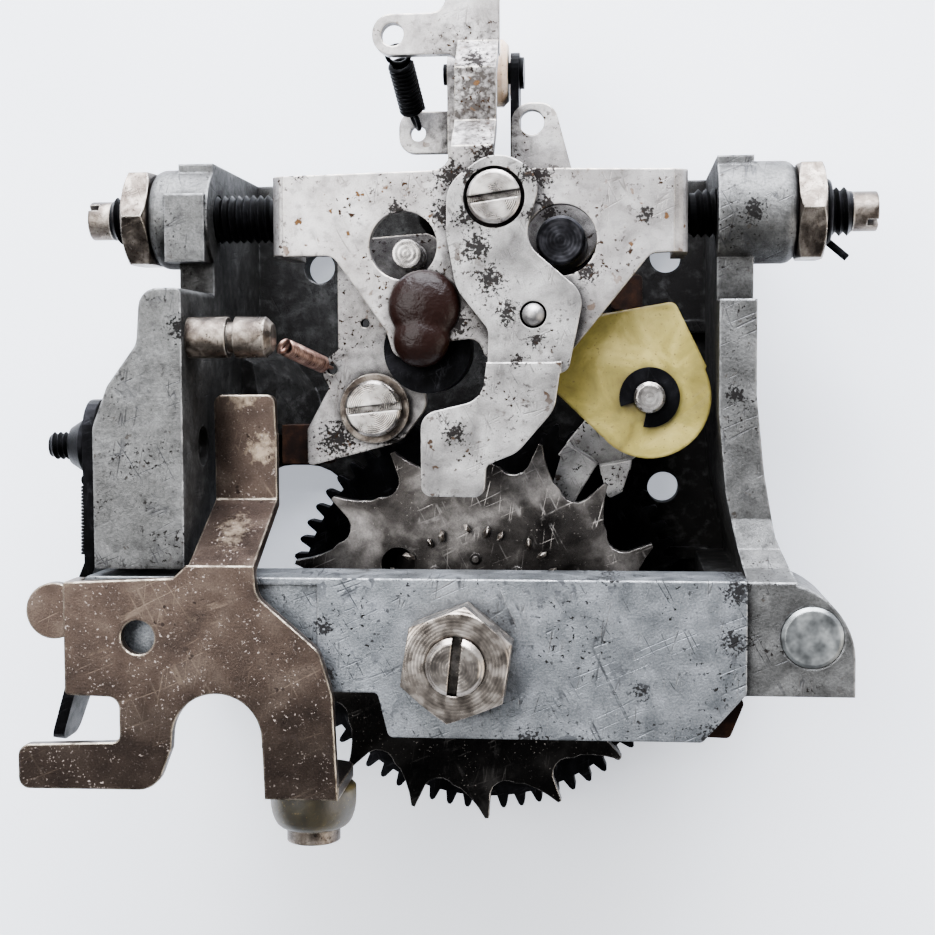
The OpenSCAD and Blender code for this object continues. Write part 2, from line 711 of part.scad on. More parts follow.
module finger_screw() {
    color(nickel) difference() {
        union() {
            translate([3, 46.3, 0]) rotate_extrude()
                polygon([[0, finger_back], [finger_head_r, finger_back],
                    [finger_head_r, finger_front + 0.4], [finger_head_r - 0.3, finger_front + 0.7],
                    [0, finger_front + 0.7]]);
            z_rod([3, 46.3], rocker_back - 2.6, finger_back, 1.5);
            translate([3, 46.3, rocker_back - 2]) rotate([0, 0, 15]) cylinder(h = 2, r = 3, $fn = 6);
        }
        slot([3, 46.3], finger_front + 0.7, 8, 0.8, 1);
    }
}

module finger_pin() {
    dome = 0.7;
    ball = (finger_pin_r * finger_pin_r + dome * dome) / (2 * dome);
    color(nickel) translate([7, 34.3, 0]) union() {
        z_rod([0, 0], rocker_back, finger_front, finger_pin_r);
        intersection() {
            translate([0, 0, finger_front + dome - ball]) sphere(r = ball);
            z_rod([0, 0], finger_front - 0.1, finger_front + 2, finger_pin_r);
        }
    }
}

module adjusting_screw() {
    color(dark_steel) union() {
        z_rod([-4.7, 31.9], rocker_front, rocker_front + 1, 2);
        z_rod([-4.7, 31.9], 24.6, rocker_front, 1.25);
    }
}

// Spherical cap of base radius r and height h on the plane z
module cap(at, z, r, h) {
    ball = (r * r + h * h) / (2 * h);
    intersection() {
        translate([at[0], at[1], z + h - ball]) sphere(r = ball);
        z_rod(at, z, z + h + 1, r + 1);
    }
}

module lacquer_seal() {
    color("#7a2c17") difference() {
        union() {
            cap([-4.4, 35.3], rocker_front, 3.6, 2);
            cap([-4.7, 31.9], rocker_front, 2.9, 2);
        }
        z_rod([-4.7, 31.9], rocker_front - cut, rocker_front + 1 + fit, 2 + fit);
    }
}

module eccentric_bush() {
    color(black_steel) difference() {
        z_rod([-4.3, 30.8], 24.5, rocker_back, bush_r);
        z_rod([-4.7, 31.9], 24, rocker_back + cut, 1.25 + fit);
    }
}

clip_z = [cam_front + 0.05, cam_front + 0.75];

module cam_stud() {
    color(nickel) translate([cam_at.x, cam_at.y, 0]) rotate_extrude()
        polygon([[0, flush], [tenon_r, flush], [tenon_r, plate_t], [cam_post_r, plate_t],
            [cam_post_r, cam_front - cam_t - 0.1], [cam_stud_r, cam_front - cam_t - 0.1],
            [cam_stud_r, clip_z[0] - 0.02], [cam_stud_r - 0.35, clip_z[0] - 0.02],
            [cam_stud_r - 0.35, clip_z[1] + 0.02], [cam_stud_r, clip_z[1] + 0.02],
            [cam_stud_r, cam_front + 1.3], [cam_stud_r - 0.3, cam_front + 1.6],
            [0, cam_front + 1.6]]);
}

module nylon_cam() {
    color(nylon) difference() {
        plate(cam_front - cam_t, cam_front)
            polygon(concat(arc(cam_at, cam_r, -137, 26, 30),
                [for (k = outline([[25, 28.9, 0.1], [21.6, 35.8, 0.9], [12.6, 34.3, 1], [9, 29, 0.8],
                    [8.6, 26.7, 1], [14.1, 21.4, 0.1]])) k]));
        z_rod(cam_at, cam_front - cam_t - cut, cam_front + cut, cam_stud_r + fit);
    }
}

module cam_clip() {
    color(black_steel) plate(clip_z[0], clip_z[1]) translate(cam_at) difference() {
        circle(r = clip_r);
        circle(r = cam_stud_r - 0.25);
        polygon([[0, 0], 6 * [cos(198), sin(198)], 6 * [cos(258), sin(258)]]);
    }
}

pawl_z = 10.5;

module detent_pawl() {
    color(nickel) difference() {
        union() {
            z_rod(cam_at, pawl_z - 0.5, pawl_z + 3, cam_post_r + 1.4);
            plate(pawl_z, pawl_z + 1.2) polygon(outline([[9.6, 20, 0.4], [13.1, 17.6, 0],
                [17.4, 18.3, 0.4], [21.8, 22.6, 1.5], [17, 29, 1.5]]));
            // first tab with its riser
            plate(15, 16.2) polygon(outline([[9.6, 20, 0.3], [13.1, 17.6, 0.3],
                [10.3, 12.9, 0.5], [8, 14.4, 0.5]]));
            plate(pawl_z, 16.2) polygon([[9.95, 20.3], [13.4, 18], [12.5, 16.7], [9, 19.1]]);
            // second tab with its riser
            plate(13.4, 14.6) polygon(outline([[13.6, 17.7, 0.2], [17.3, 18.4, 0.2],
                [16.2, 14.8, 0.4], [14.6, 14, 0.4]]));
            plate(pawl_z, 14.6) polygon([[13.6, 17.7], [17.3, 18.4], [17.1, 17.3], [13.8, 16.7]]);
        }
        z_rod(cam_at, pawl_z - 2, pawl_z + 5, cam_post_r + fit);
    }
}

module lever_post() {
    color(dark_steel) difference() {
        translate([lever_at.x, lever_at.y, 0]) rotate_extrude()
            polygon([[0, flush], [tenon_r, flush], [tenon_r, plate_t], [lever_post_r, plate_t],
                [lever_post_r, lever_back - 0.1], [0, lever_back - 0.1]]);
        z_rod(lever_at, 10, lever_back + cut, 1.25 + fit);
    }
}

module pawl_lever() {
    color(nickel) difference() {
        plate(lever_back, lever_front)
            polygon(outline([[-14.9, 42.8, 2], [-14.9, 30.9, 0], [-16.5, 29.8, 1],
                [-16.6, 28.1, 0.8], [-15.9, 26.8, 0.5], [-18.4, 22.2, 0.8], [-18.4, 18.1, 0.5],
                [-8.1, 20.8, 3], [-5.2, 24.6, 2], [-5.6, 28.8, 2], [-8, 33, 1.5], [-3.4, 39.6, 1.5],
                [-4, 43.6, 1.5]]));
        z_rod(lever_at, lever_back - cut, lever_front + cut, shoulder_r + fit);
        z_rod([-11.9, 33.8], lever_back - cut, lever_front + cut, 0.5);
        z_rod([-15.6, 28.8], lever_back - cut, lever_front + cut, 0.6);
        z_rod([-6.5, 40.9], lever_back - cut, lever_front + cut, 1 + fit);
    }
}

collar_z = [lever_front + 0.05, lever_front + 1];

module lever_collar() {
    color(nickel) difference() {
        z_rod(lever_at, collar_z[0], collar_z[1], collar_r);
        z_rod(lever_at, collar_z[0] - cut, collar_z[1] + cut, 1.6 + fit);
    }
}

module lever_screw() {
    head = collar_z[1];
    color(nickel) difference() {
        translate([lever_at.x, lever_at.y, 0]) rotate_extrude()
            polygon([[0, 12], [1.25, 12], [1.25, lever_back - 0.1], [shoulder_r, lever_back - 0.1],
                [shoulder_r, collar_z[0]], [1.6, collar_z[0]], [1.6, head], [lever_head_r, head],
                [lever_head_r, head + 1.3], [lever_head_r - 0.3, head + 1.6], [0, head + 1.6]]);
        slot(lever_at, head + 1.6, 6, 0.8, 1);
    }
}

module lever_pin() {
    color(nickel) union() {
        z_rod([-6.5, 40.9], lever_back, lever_front, 1);
        z_rod([-6.5, 40.9], lever_front, rocker_back - 0.6, lever_pin_r);
    }
}

module lever_nose() {
    color("#4b332a") translate([-21.6, 18.3, lever_back - 3.4]) cube([5.4, 4.3, 3.4]);
}

module spring_post() {
    end = -wall_left + spring_post_l;
    r = spring_post_r;
    color(nickel) translate([-wall_left, spring_post_at[0], spring_post_at[1]])
        rotate([0, 90, 0]) rotate_extrude()
            polygon([[0, -2], [1.2, -2], [1.2, 0], [r, 0], [r, 4.1], [r - 0.5, 4.1],
                [r - 0.5, 4.9], [r, 4.9], [r, spring_post_l - 0.7], [r - 0.7, spring_post_l],
                [0, spring_post_l]]);
}

module lever_spring() {
    color("#9a7b6c") spring_between([-18.9, 31.3, 33.6], [-15.9, 29, lever_front + 0.5], 0.95, 0.25);
}

module upper_stud() {
    color(black_steel) translate([upper_at.x, upper_at.y, 0]) rotate_extrude()
        polygon([[0, flush], [tenon_r, flush], [tenon_r, plate_t], [upper_stud_r + 1, plate_t],
            [upper_stud_r + 1, upper_front - upper_t - 0.1],
            [upper_stud_r, upper_front - upper_t - 0.1], [upper_stud_r, upper_stud_front - 0.3],
            [upper_stud_r - 0.3, upper_stud_front], [0, upper_stud_front]]);
}

module upper_lever() {
    color(nickel) difference() {
        plate(upper_front - upper_t, upper_front)
            polygon(outline([[4.1, 57.6, 2.1], [8.7, 57.6, 2.1], [10.6, 50.5, 3], [14.3, 43, 4],
                [9.7, 37.6, 4], [5.2, 42, 4], [4.1, 51, 3]]));
        z_rod(upper_at, upper_front - upper_t - cut, upper_front + cut, upper_stud_r + fit);
        z_rod([6.3, 55.5], upper_front - upper_t - cut, upper_front + cut, 1.35);
    }
}

module back_pivot_pin() {
    color(dark_steel) x_rod(back_axis, -lug_x - 2.5, lug_x + 2.5, 1.5);
}

cheek_x = -3.8; // left face of the back lever's cheek
back_arm_x = 3.4; // left face of the black arm at the roller's other end
roller_end = back_arm_x - side_gap;

module back_lever() {
    color(nickel) difference() {
        union() {
            x_rod(back_axis, -lug_x + side_gap, back_arm_x, 2.9);
            along_x(cheek_x, cheek_x + cheek_t) polygon(outline([[46.6, 6.9, 2], [50, 7, 1],
                [65.2, 7.6, 2.3], [65.2, 12.6, 2.3], [49, 11.4, 2], [46.6, 11.2, 2]]));
            plate(9.2, 10.4) polygon(outline([[cheek_x + 0.5, 53.7, 0], [cheek_x + 0.5, 58.5, 0],
                [-9.6, 58.5, 1.8], [-9.6, 53.7, 1.8]]));
        }
        x_rod(back_axis, -lug_x - 1, lug_x + 1, 1.5 + fit);
        x_rod(back_roller_at, -lug_x, lug_x, 1.2 + fit);
        z_rod([-7.4, 56], 8, 12, 0.9);
    }
}

module back_arm() {
    color(black_steel) difference() {
        along_x(back_arm_x, back_arm_x + 1) polygon(outline([[45.4, 6.2, 2.6], [51, 6.6, 3],
            [60.5, 7.9, 2], [65, 7.9, 2], [65, 12.1, 2], [51, 11.8, 3], [45.4, 11.8, 2.6]]));
        x_rod(back_axis, back_arm_x - 1, back_arm_x + 2, 1.5 + fit);
        x_rod(back_roller_at, back_arm_x - 1, back_arm_x + 2, 1.2 + fit);
    }
}

module back_roller() {
    x0 = cheek_x + cheek_t + side_gap;
    x1 = roller_end;
    color(nylon) translate([x0, back_roller_at[0], back_roller_at[1]]) rotate([0, 90, 0])
        rotate_extrude() polygon([[1.2 + fit, 0], [back_roller_r - 0.6, 0], [back_roller_r, 0.6],
            [back_roller_r, x1 - x0 - 0.6], [back_roller_r - 0.6, x1 - x0], [1.2 + fit, x1 - x0]]);
}

module back_roller_pin() {
    color(black_steel) union() {
        x_rod(back_roller_at, cheek_x - 0.6, back_arm_x + 1.4, 1.2);
        x_rod(back_roller_at, back_arm_x + 1, back_arm_x + 1.5, 1.8);
    }
}

module arm_spring() {
    color(black_steel) spring_between([arm_eye.x + 0.1, arm_eye.y - 0.8, arm_upper - rocker_t - 0.6],
        [-7.4, 56.6, 11.2], 1.5, 0.3);
}

tab_x = [-27, -20.4];

module bracket_arch() {
    polygon(concat([[-24.35 + arch_r + 0.1, -leg_end - 1]], arc([-24.35, -8.2], arch_r, 0, 180, 20),
        [[-24.35 - arch_r - 0.5, -leg_end - 1]]));
}

module bracket() {
    z0 = bracket_back;
    z1 = bracket_front;
    leg_x = [-19.5, -12.1];
    color(bronze_plate) difference() {
        union() {
            plate(z0, z1) difference() {
                polygon(outline([[-39.9, 7.5, 0.3], [-28.6, 8, 0.8], [tab_x[0] - 0.2, 9.3, 0.3],
                    [tab_x[1], 9.3, 0], [tab_x[1] + 0.2, 6.3, 2.5], [-13.9, 0.8, 2.5],
                    [-12.6, -3.6, 2], [leg_x[1], -leg_end, 0], [leg_x[0], -leg_end, 0],
                    [leg_x[0] - 0.2, -9, 0], [-24.35, -9, 0], [-29, -9.2, 0.4],
                    [-30.6, -13.5, 2.6], [-44.9, -13.6, 1.1], [-44.9, -9.1, 1.2],
                    [-34.3, -8.7, 0.8], [-34.3, -4.1, 1.2], [-39.9, -3.9, 0.4]]));
                bracket_arch();
                translate([-32.3, 2]) circle(r = bracket_hole_r);
            }
            // stepped tab
            along_x(tab_x[0], tab_x[1])
                polygon(strip([[8.4, z1], [9.2, z1], [15, tab_front], [22, tab_front]], -sheet_t));
            plate(tab_front - sheet_t, tab_front)
                polygon(outline([[tab_x[0], 20, 0], [tab_x[1], 20, 0], [tab_x[1] - 0.2, tab_top, 0.9],
                    [tab_x[0] - 0.1, tab_top, 0.9]]));
            // left flange with its round ear
            along_x(-39.9, -39.9 + sheet_t) polygon(outline([[-3.9, z1 - 0.5, 0], [7.5, z1 - 0.5, 0],
                [7.5, 34.8, 1.5], [-3.9, 34.8, 1.5]]));
            plate(36, 36 + sheet_t) union() {
                translate([-42.1, 4.1]) circle(r = 2.9);
                translate([-42.1, 1.5]) square([2.7, 5.2]);
            }
            // lower flange of the leg
            along_y(-leg_end, -leg_end + sheet_t) polygon(outline([[leg_x[0], z1 - 0.5, 0],
                [leg_x[1], z1 - 0.5, 0], [leg_x[1], 28.6, 2.5], [leg_x[0], 28.6, 2.5]]));
        }
        x_rod(bracket_axis, -41, -38, 1.2 + fit);
        y_rod([-16, 33], -leg_end - 1, -leg_end + 3, 1.5 + fit);
    }
}

module bracket_pin() {
    color(dark_steel) union() {
        x_rod(bracket_axis, -39.95, -bar_left + 5, 1.2);
        x_rod(bracket_axis, -40.6, -39.95, 1.8);
    }
}

roller_top = -leg_end - 0.2;

module bracket_roller() {
    l = leg_roller_l;
    r = leg_roller_r;
    color(nylon) translate([-16, roller_top, 33]) rotate([90, 0, 0]) rotate_extrude()
        polygon(concat([[1.5 + fit, 0], [r - 0.3, 0], [r, 0.3], [r, 1.4]],
            [for (i = [1:6]) [r - 1.3 * (1 - cos(i * 15)), 1.4 + (l - 1.4) * sin(i * 15)]],
            [[1.5 + fit, l]]));
}

module roller_stud() {
    end = roller_top - leg_roller_l - 0.1;
    color(bronze_plate) union() {
        y_rod([-16, 33], end, -leg_end + sheet_t + 0.6, 1.5);
        y_rod([-16, 33], end - 1.4, end, 2.8);
    }
}

outer_x = -38.8; // face of the outer lever towards the block

module outer_lever() {
    path = [[outer_x, 25.7], [outer_x, 8.4], [outer_x - 2.3, 3], [outer_x - 2.3, -4.5],
        [outer_x - 4, -10.4]];
    z0 = 33.6 - outer_w;
    color(black_steel) difference() {
        intersection() {
            plate(z0, 33.6) polygon(strip(path, -outer_t));
            along_x(-50, -30) polygon(outline([[25.7, z0, 3.5], [25.7, 33.6, 3.5],
                [-10.4, 33.6, 1.5], [-10.4, 28.4, 1.5], [0, z0, 4]]));
        }
        x_rod(outer_axis, outer_x - 3, outer_x + 1, outer_stud_r + fit);
        x_rod([23.6, 29], outer_x - 3, outer_x + 1, 0.6);
    }
}

module outer_stud() {
    color(black_steel) difference() {
        x_rod(outer_axis, -44.4, -wall_left - 0.9, outer_stud_r);
        translate([-wall_left - 0.9, outer_axis[0], outer_axis[1]]) cube([1, 5, 0.6], center = true);
    }
}

module outer_nut() {
    end = outer_x - outer_t - 0.1;
    color(black_steel) translate([end, outer_axis[0], outer_axis[1]]) rotate([0, -90, 0])
        difference() {
            rotate_extrude() polygon([[0, 0], [2.9, 0], [2.9, 0.5], [2, 1.9], [0, 1.9]]);
            translate([0, 0, -1]) cylinder(h = 4, r = outer_stud_r + fit);
        }
}

module outer_washer() {
    color(dark_steel) difference() {
        x_rod(outer_axis, outer_x + 0.05, -block_side, 2.6);
        x_rod(outer_axis, outer_x - 1, -block_side + 1, outer_stud_r + fit);
    }
}

module outer_spring() {
    color(black_steel) spring_between([-41.2, 17.6, 28.4], [-41.4, 7.6, 28.4], 0.8, 0.2);
}

frame();
front_bar();
main_stud();
main_nut();
foot_rivet();
left_pivot_screw();
right_pivot_screw();
left_lock_nut();
right_lock_nut();
lock_wire();
bar_screws();
corner_plate();
bump_stop();
wheel_hub();
star_wheel();
ratchet_wheel();
gear_wheel();
rocker_plate();
finger_lever();
finger_screw();
finger_pin();
adjusting_screw();
lacquer_seal();
eccentric_bush();
cam_stud();
nylon_cam();
cam_clip();
detent_pawl();
lever_post();
pawl_lever();
lever_screw();
lever_collar();
lever_pin();
lever_nose();
spring_post();
lever_spring();
upper_stud();
upper_lever();
back_pivot_pin();
back_lever();
back_arm();
back_roller();
back_roller_pin();
arm_spring();
bracket();
bracket_pin();
bracket_roller();
roller_stud();
outer_lever();
outer_stud();
outer_nut();
outer_washer();
outer_spring();
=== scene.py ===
import math

import bpy
from mathutils import Matrix, Vector


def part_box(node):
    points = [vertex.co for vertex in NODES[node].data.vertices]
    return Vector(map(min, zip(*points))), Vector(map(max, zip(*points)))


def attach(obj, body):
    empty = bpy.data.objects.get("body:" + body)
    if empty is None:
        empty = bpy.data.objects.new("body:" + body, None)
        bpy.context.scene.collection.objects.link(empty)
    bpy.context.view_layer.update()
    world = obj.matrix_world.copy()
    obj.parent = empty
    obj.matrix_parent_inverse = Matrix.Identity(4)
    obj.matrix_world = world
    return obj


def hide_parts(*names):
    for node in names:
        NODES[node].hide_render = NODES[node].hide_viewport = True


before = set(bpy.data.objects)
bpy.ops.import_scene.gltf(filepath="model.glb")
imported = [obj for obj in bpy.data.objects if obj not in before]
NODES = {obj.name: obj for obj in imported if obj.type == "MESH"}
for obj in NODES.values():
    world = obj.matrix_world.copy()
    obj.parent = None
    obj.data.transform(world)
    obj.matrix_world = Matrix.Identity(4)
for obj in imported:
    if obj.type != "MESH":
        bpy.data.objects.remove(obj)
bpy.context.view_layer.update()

MM = 0.001
RAMP_STOPS_AT_START = 2  # a new colour ramp comes with two stops
RING_SCALE = 0.314       # makes a ring wave's spacing in metres match its pitch
MIX_FACTOR, MIX_A, MIX_B, MIX_RESULT = 0, 6, 7, 2  # sockets of a Mix node set to RGBA


# ---------------------------------------------------------------- colours and shader nodes

def linear(hex_colour):
    """An sRGB hex value as a linear RGBA tuple."""
    parts = [int(hex_colour[i:i + 2], 16) / 255 for i in (1, 3, 5)]
    return tuple(c / 12.92 if c <= 0.04045 else ((c + 0.055) / 1.055) ** 2.4 for c in parts) + (1.0,)


def add(tree, kind, inputs=None, stops=(), **settings):
    """Adds one node with its settings and links; stops are a colour ramp's (place, colour or grey) pairs."""
    node = tree.nodes.new(kind)
    for name, value in settings.items():
        setattr(node, name, value)
    for key, value in (inputs or {}).items():
        if isinstance(value, bpy.types.NodeSocket):
            tree.links.new(value, node.inputs[key])
        else:
            node.inputs[key].default_value = value
    for index, (position, colour) in enumerate(stops):
        if index < RAMP_STOPS_AT_START:
            stop = node.color_ramp.elements[index]
            stop.position = position
        else:
            stop = node.color_ramp.elements.new(position)
        stop.color = linear(colour) if isinstance(colour, str) else (colour, colour, colour, 1)
    return node


def per_metre(size_mm):
    """Texture scale whose features are about size_mm across."""
    return 1 / (size_mm * MM)


def new_material(name):
    material = bpy.data.materials.new(name)
    material.use_nodes = True
    tree = material.node_tree
    tree.nodes.clear()
    shader = add(tree, "ShaderNodeBsdfPrincipled")
    add(tree, "ShaderNodeOutputMaterial", {"Surface": shader.outputs[0]})
    return material, tree, shader


def scratches(tree, at, angle, spacing_mm, length_mm, width, seed):
    """Fine long lines in one direction: level lines of a noise that is drawn out along the scratch."""
    turned = add(tree, "ShaderNodeMapping", {
        "Vector": at, "Rotation": (0.0, 0.0, math.radians(angle)),
        "Location": (seed * 0.03, seed * 0.02, 0.0),
        "Scale": (length_mm * MM, spacing_mm * MM, length_mm * MM)}, vector_type="TEXTURE")
    lines = add(tree, "ShaderNodeTexNoise", {
        "Vector": turned.outputs[0], "Scale": 1.0, "Detail": 1.5, "Distortion": 0.12}).outputs["Fac"]
    off = add(tree, "ShaderNodeMath", {0: lines, 1: 0.5}, operation="SUBTRACT").outputs[0]
    flat = add(tree, "ShaderNodeMath", {0: off}, operation="ABSOLUTE").outputs[0]
    return add(tree, "ShaderNodeMapRange", {
        "Value": flat, "From Min": 0.0, "From Max": width, "To Min": 1.0, "To Max": 0.0}).outputs["Result"]


def shelter(tree, reach_mm, low, high):
    """1 in corners and under other pieces, 0 on open faces, found by how much sky a point sees: where painted
    shade goes.
    """
    open_sky = add(tree, "ShaderNodeAmbientOcclusion", {"Distance": reach_mm * MM}, samples=6).outputs["AO"]
    return add(tree, "ShaderNodeMapRange", {
        "Value": open_sky, "From Min": high, "From Max": low}).outputs["Result"]


def spatter(tree, at, points, size_mm, edge=0.08):
    """Ragged spots that crowd together near the given (x, y, reach) points in mm and thin out between."""
    crowd = None
    for x, y, reach in points:
        centred = add(tree, "ShaderNodeMapping", {
            "Vector": at, "Location": (-x * MM, -y * MM, 0.0), "Scale": (1.0, 1.0, 0.0)}).outputs[0]
        far = add(tree, "ShaderNodeVectorMath", {0: centred}, operation="LENGTH").outputs["Value"]
        near = add(tree, "ShaderNodeMapRange", {
            "Value": far, "From Min": 0.0, "From Max": reach * MM, "To Min": 1.0,
            "To Max": 0.0}).outputs["Result"]
        if crowd is None:
            crowd = near
        else:
            crowd = add(tree, "ShaderNodeMath", {0: crowd, 1: near}, operation="MAXIMUM").outputs[0]
    ragged = add(tree, "ShaderNodeMapRange", {
        "Value": add(tree, "ShaderNodeTexNoise", {
            "Vector": at, "Scale": per_metre(size_mm), "Detail": 4.0, "Roughness": 0.6}).outputs["Fac"],
        "From Min": 0.3, "From Max": 0.7, "To Min": -0.5, "To Max": 0.5}).outputs["Result"]
    level = add(tree, "ShaderNodeMath", {0: crowd, 1: ragged}, operation="ADD").outputs[0]
    return add(tree, "ShaderNodeMath", {
        0: add(tree, "ShaderNodeMapRange", {
            "Value": level, "From Min": 0.62 - edge, "From Max": 0.62 + edge}).outputs["Result"],
        1: add(tree, "ShaderNodeMapRange", {
            "Value": crowd, "From Min": 0.0, "From Max": 0.3}).outputs["Result"]},
        operation="MULTIPLY").outputs[0]


def metal(name, tones, blotch_mm, roughness, metallic, grain, bumps_mm, bump, scratch=None,
          grime_and_shade=None, painted_shade=None, wear_and_glint=None, specks=None, stains=None, grease=None, painted_highlight_and_shade=None,
          shade_toward_low_y=None, round_mm=0.18):
    """A metal surface: blotchy tone, fine grain, scratches, soiling and painted shade in the corners, and
    edges lightened with wear and a painted highlight.

    tones: dark, middle and light colour; grain: how much the fine grain changes the tone;
    scratch: (strength, spacing in mm, colour); grime and soot: (colour, reach in mm, amount) of colour laid
    where little sky is seen, the first soiling in the corners together with painted shade, the second painted
    shade that reaches far into hollows and under other pieces;
    worn: (colour, amount), edges lightened by wear and a painted highlight; specks and stains: (colour, size
    in mm, threshold);
    grease and rubs: (colour, size in mm, places) of dark spatter and of painted patches, a painted highlight
    where the colour is light and painted shade where it is dark;
    oil: (from, to, amount), painted shade that deepens from one height in Y to a lower one.
    """
    material, tree, shader = new_material(name)
    at = add(tree, "ShaderNodeTexCoord").outputs["Object"]
    blotch = add(tree, "ShaderNodeTexNoise", {
        "Vector": at, "Scale": per_metre(blotch_mm), "Detail": 3.0, "Roughness": 0.52,
        "Distortion": 0.4}).outputs["Fac"]
    colour = add(tree, "ShaderNodeValToRGB", {"Fac": blotch}, stops=[
        (0.32, tones[0]), (0.5, tones[1]), (0.68, tones[2])]).outputs["Color"]
    fine = add(tree, "ShaderNodeTexNoise", {
        "Vector": at, "Scale": per_metre(bumps_mm), "Detail": 4.0, "Roughness": 0.7}).outputs["Fac"]
    shade = add(tree, "ShaderNodeValToRGB", {"Fac": fine}, stops=[
        (0.32, 1 - grain), (0.66, 1.0)]).outputs["Color"]
    colour = add(tree, "ShaderNodeMix", {MIX_FACTOR: 1.0, MIX_A: colour, MIX_B: shade}, data_type="RGBA",
        blend_type="MULTIPLY").outputs[MIX_RESULT]
    rough = add(tree, "ShaderNodeMapRange", {
        "Value": blotch, "From Min": 0.3, "From Max": 0.7, "To Min": roughness[0],
        "To Max": roughness[1]}).outputs["Result"]
    height = fine
    if scratch:
        strength, spacing, scratch_colour = scratch
        lines = add(tree, "ShaderNodeMath", {
            0: scratches(tree, at, 24, spacing, spacing * 16, 0.014, 0.3),
            1: scratches(tree, at, -63, spacing * 1.3, spacing * 20, 0.012, 0.9)},
            operation="MAXIMUM").outputs[0]
        lines = add(tree, "ShaderNodeMath", {
            0: lines, 1: scratches(tree, at, 81, spacing * 0.8, spacing * 12, 0.01, 1.7)},
            operation="MAXIMUM").outputs[0]
        patchy = add(tree, "ShaderNodeValToRGB", {
            "Fac": add(tree, "ShaderNodeTexNoise", {
                "Vector": at, "Scale": per_metre(spacing * 1.6), "Detail": 3.0,
                "Roughness": 0.55}).outputs["Fac"]}, stops=[(0.5, 0.0), (0.62, 1.0)]).outputs["Color"]
        lines = add(tree, "ShaderNodeMath", {
            0: add(tree, "ShaderNodeMath", {0: lines, 1: patchy}, operation="MULTIPLY").outputs[0],
            1: strength}, operation="MULTIPLY").outputs[0]
        colour = add(tree, "ShaderNodeMix", {MIX_FACTOR: lines, MIX_A: colour, MIX_B: linear(scratch_colour)},
            data_type="RGBA").outputs[MIX_RESULT]
        height = add(tree, "ShaderNodeMath", {0: height, 1: lines}, operation="SUBTRACT").outputs[0]
    normal = add(tree, "ShaderNodeBevel", {"Radius": round_mm * MM}, samples=4).outputs["Normal"]
    # Painted patches at the listed places: painted highlight where their colour is light, painted shade where
    # dark.
    if painted_highlight_and_shade:
        colour = add(tree, "ShaderNodeMix", {
            MIX_FACTOR: add(tree, "ShaderNodeMath", {
                0: spatter(tree, at, painted_highlight_and_shade[2], painted_highlight_and_shade[1], 0.35), 1: 0.92}, operation="MULTIPLY").outputs[0],
            MIX_A: colour, MIX_B: linear(painted_highlight_and_shade[0])}, data_type="RGBA").outputs[MIX_RESULT]
    dull = None
    # Painted shade: the colour darkens from one height in Y to a lower one, along a wavy line.
    if shade_toward_low_y:
        height_y = add(tree, "ShaderNodeSeparateXYZ", {0: at}).outputs["Y"]
        wavy = add(tree, "ShaderNodeMapRange", {
            "Value": add(tree, "ShaderNodeTexNoise", {
                "Vector": at, "Scale": per_metre(5.0), "Detail": 3.0, "Roughness": 0.55}).outputs["Fac"],
            "From Min": 0.3, "From Max": 0.7, "To Min": -2 * MM, "To Max": 2 * MM}).outputs["Result"]
        height_y = add(tree, "ShaderNodeMath", {0: height_y, 1: wavy}, operation="ADD").outputs[0]
        low_y_shade = add(tree, "ShaderNodeMapRange", {
            "Value": height_y, "From Min": shade_toward_low_y[0] * MM, "From Max": shade_toward_low_y[1] * MM,
            "To Min": 1.0, "To Max": 1.0 - shade_toward_low_y[2]}).outputs["Result"]
        colour = add(tree, "ShaderNodeMix", {MIX_FACTOR: 1.0, MIX_A: colour, MIX_B: low_y_shade}, data_type="RGBA",
            blend_type="MULTIPLY").outputs[MIX_RESULT]
    # Edges found by the bevel normal are lightened: partly wear, partly a painted edge highlight.
    if wear_and_glint:
        true_normal = add(tree, "ShaderNodeNewGeometry").outputs["Normal"]
        alike = add(tree, "ShaderNodeVectorMath", {0: normal, 1: true_normal}, operation="DOT_PRODUCT")
        edge = add(tree, "ShaderNodeMapRange", {
            "Value": alike.outputs["Value"], "From Min": 0.985, "From Max": 0.82}).outputs["Result"]
        edge_wear_and_glint = add(tree, "ShaderNodeMath", {
            0: edge,
            1: add(tree, "ShaderNodeValToRGB", {
                "Fac": add(tree, "ShaderNodeTexNoise", {
                    "Vector": at, "Scale": per_metre(1.1), "Detail": 3.0, "Roughness": 0.55}).outputs["Fac"]},
                stops=[(0.38, 0.15), (0.6, 1.0)]).outputs["Color"]}, operation="MULTIPLY").outputs[0]
        colour = add(tree, "ShaderNodeMix", {
            MIX_FACTOR: add(tree, "ShaderNodeMath", {0: edge_wear_and_glint, 1: wear_and_glint[1]}, operation="MULTIPLY").outputs[0],
            MIX_A: colour, MIX_B: linear(wear_and_glint[0])}, data_type="RGBA").outputs[MIX_RESULT]
    if grease:
        dull = spatter(tree, at, grease[2], grease[1])
        colour = add(tree, "ShaderNodeMix", {
            MIX_FACTOR: add(tree, "ShaderNodeMath", {0: dull, 1: 0.96}, operation="MULTIPLY").outputs[0],
            MIX_A: colour, MIX_B: linear(grease[0])}, data_type="RGBA").outputs[MIX_RESULT]
    for spots in (specks, stains):
        if spots:
            mask = add(tree, "ShaderNodeValToRGB", {
                "Fac": add(tree, "ShaderNodeTexNoise", {
                    "Vector": at, "Scale": per_metre(spots[1]), "Detail": 2.5,
                    "Roughness": 0.55}).outputs["Fac"]}, stops=[
                (spots[2], 0.0), (spots[2] + 0.03, 1.0)]).outputs["Color"]
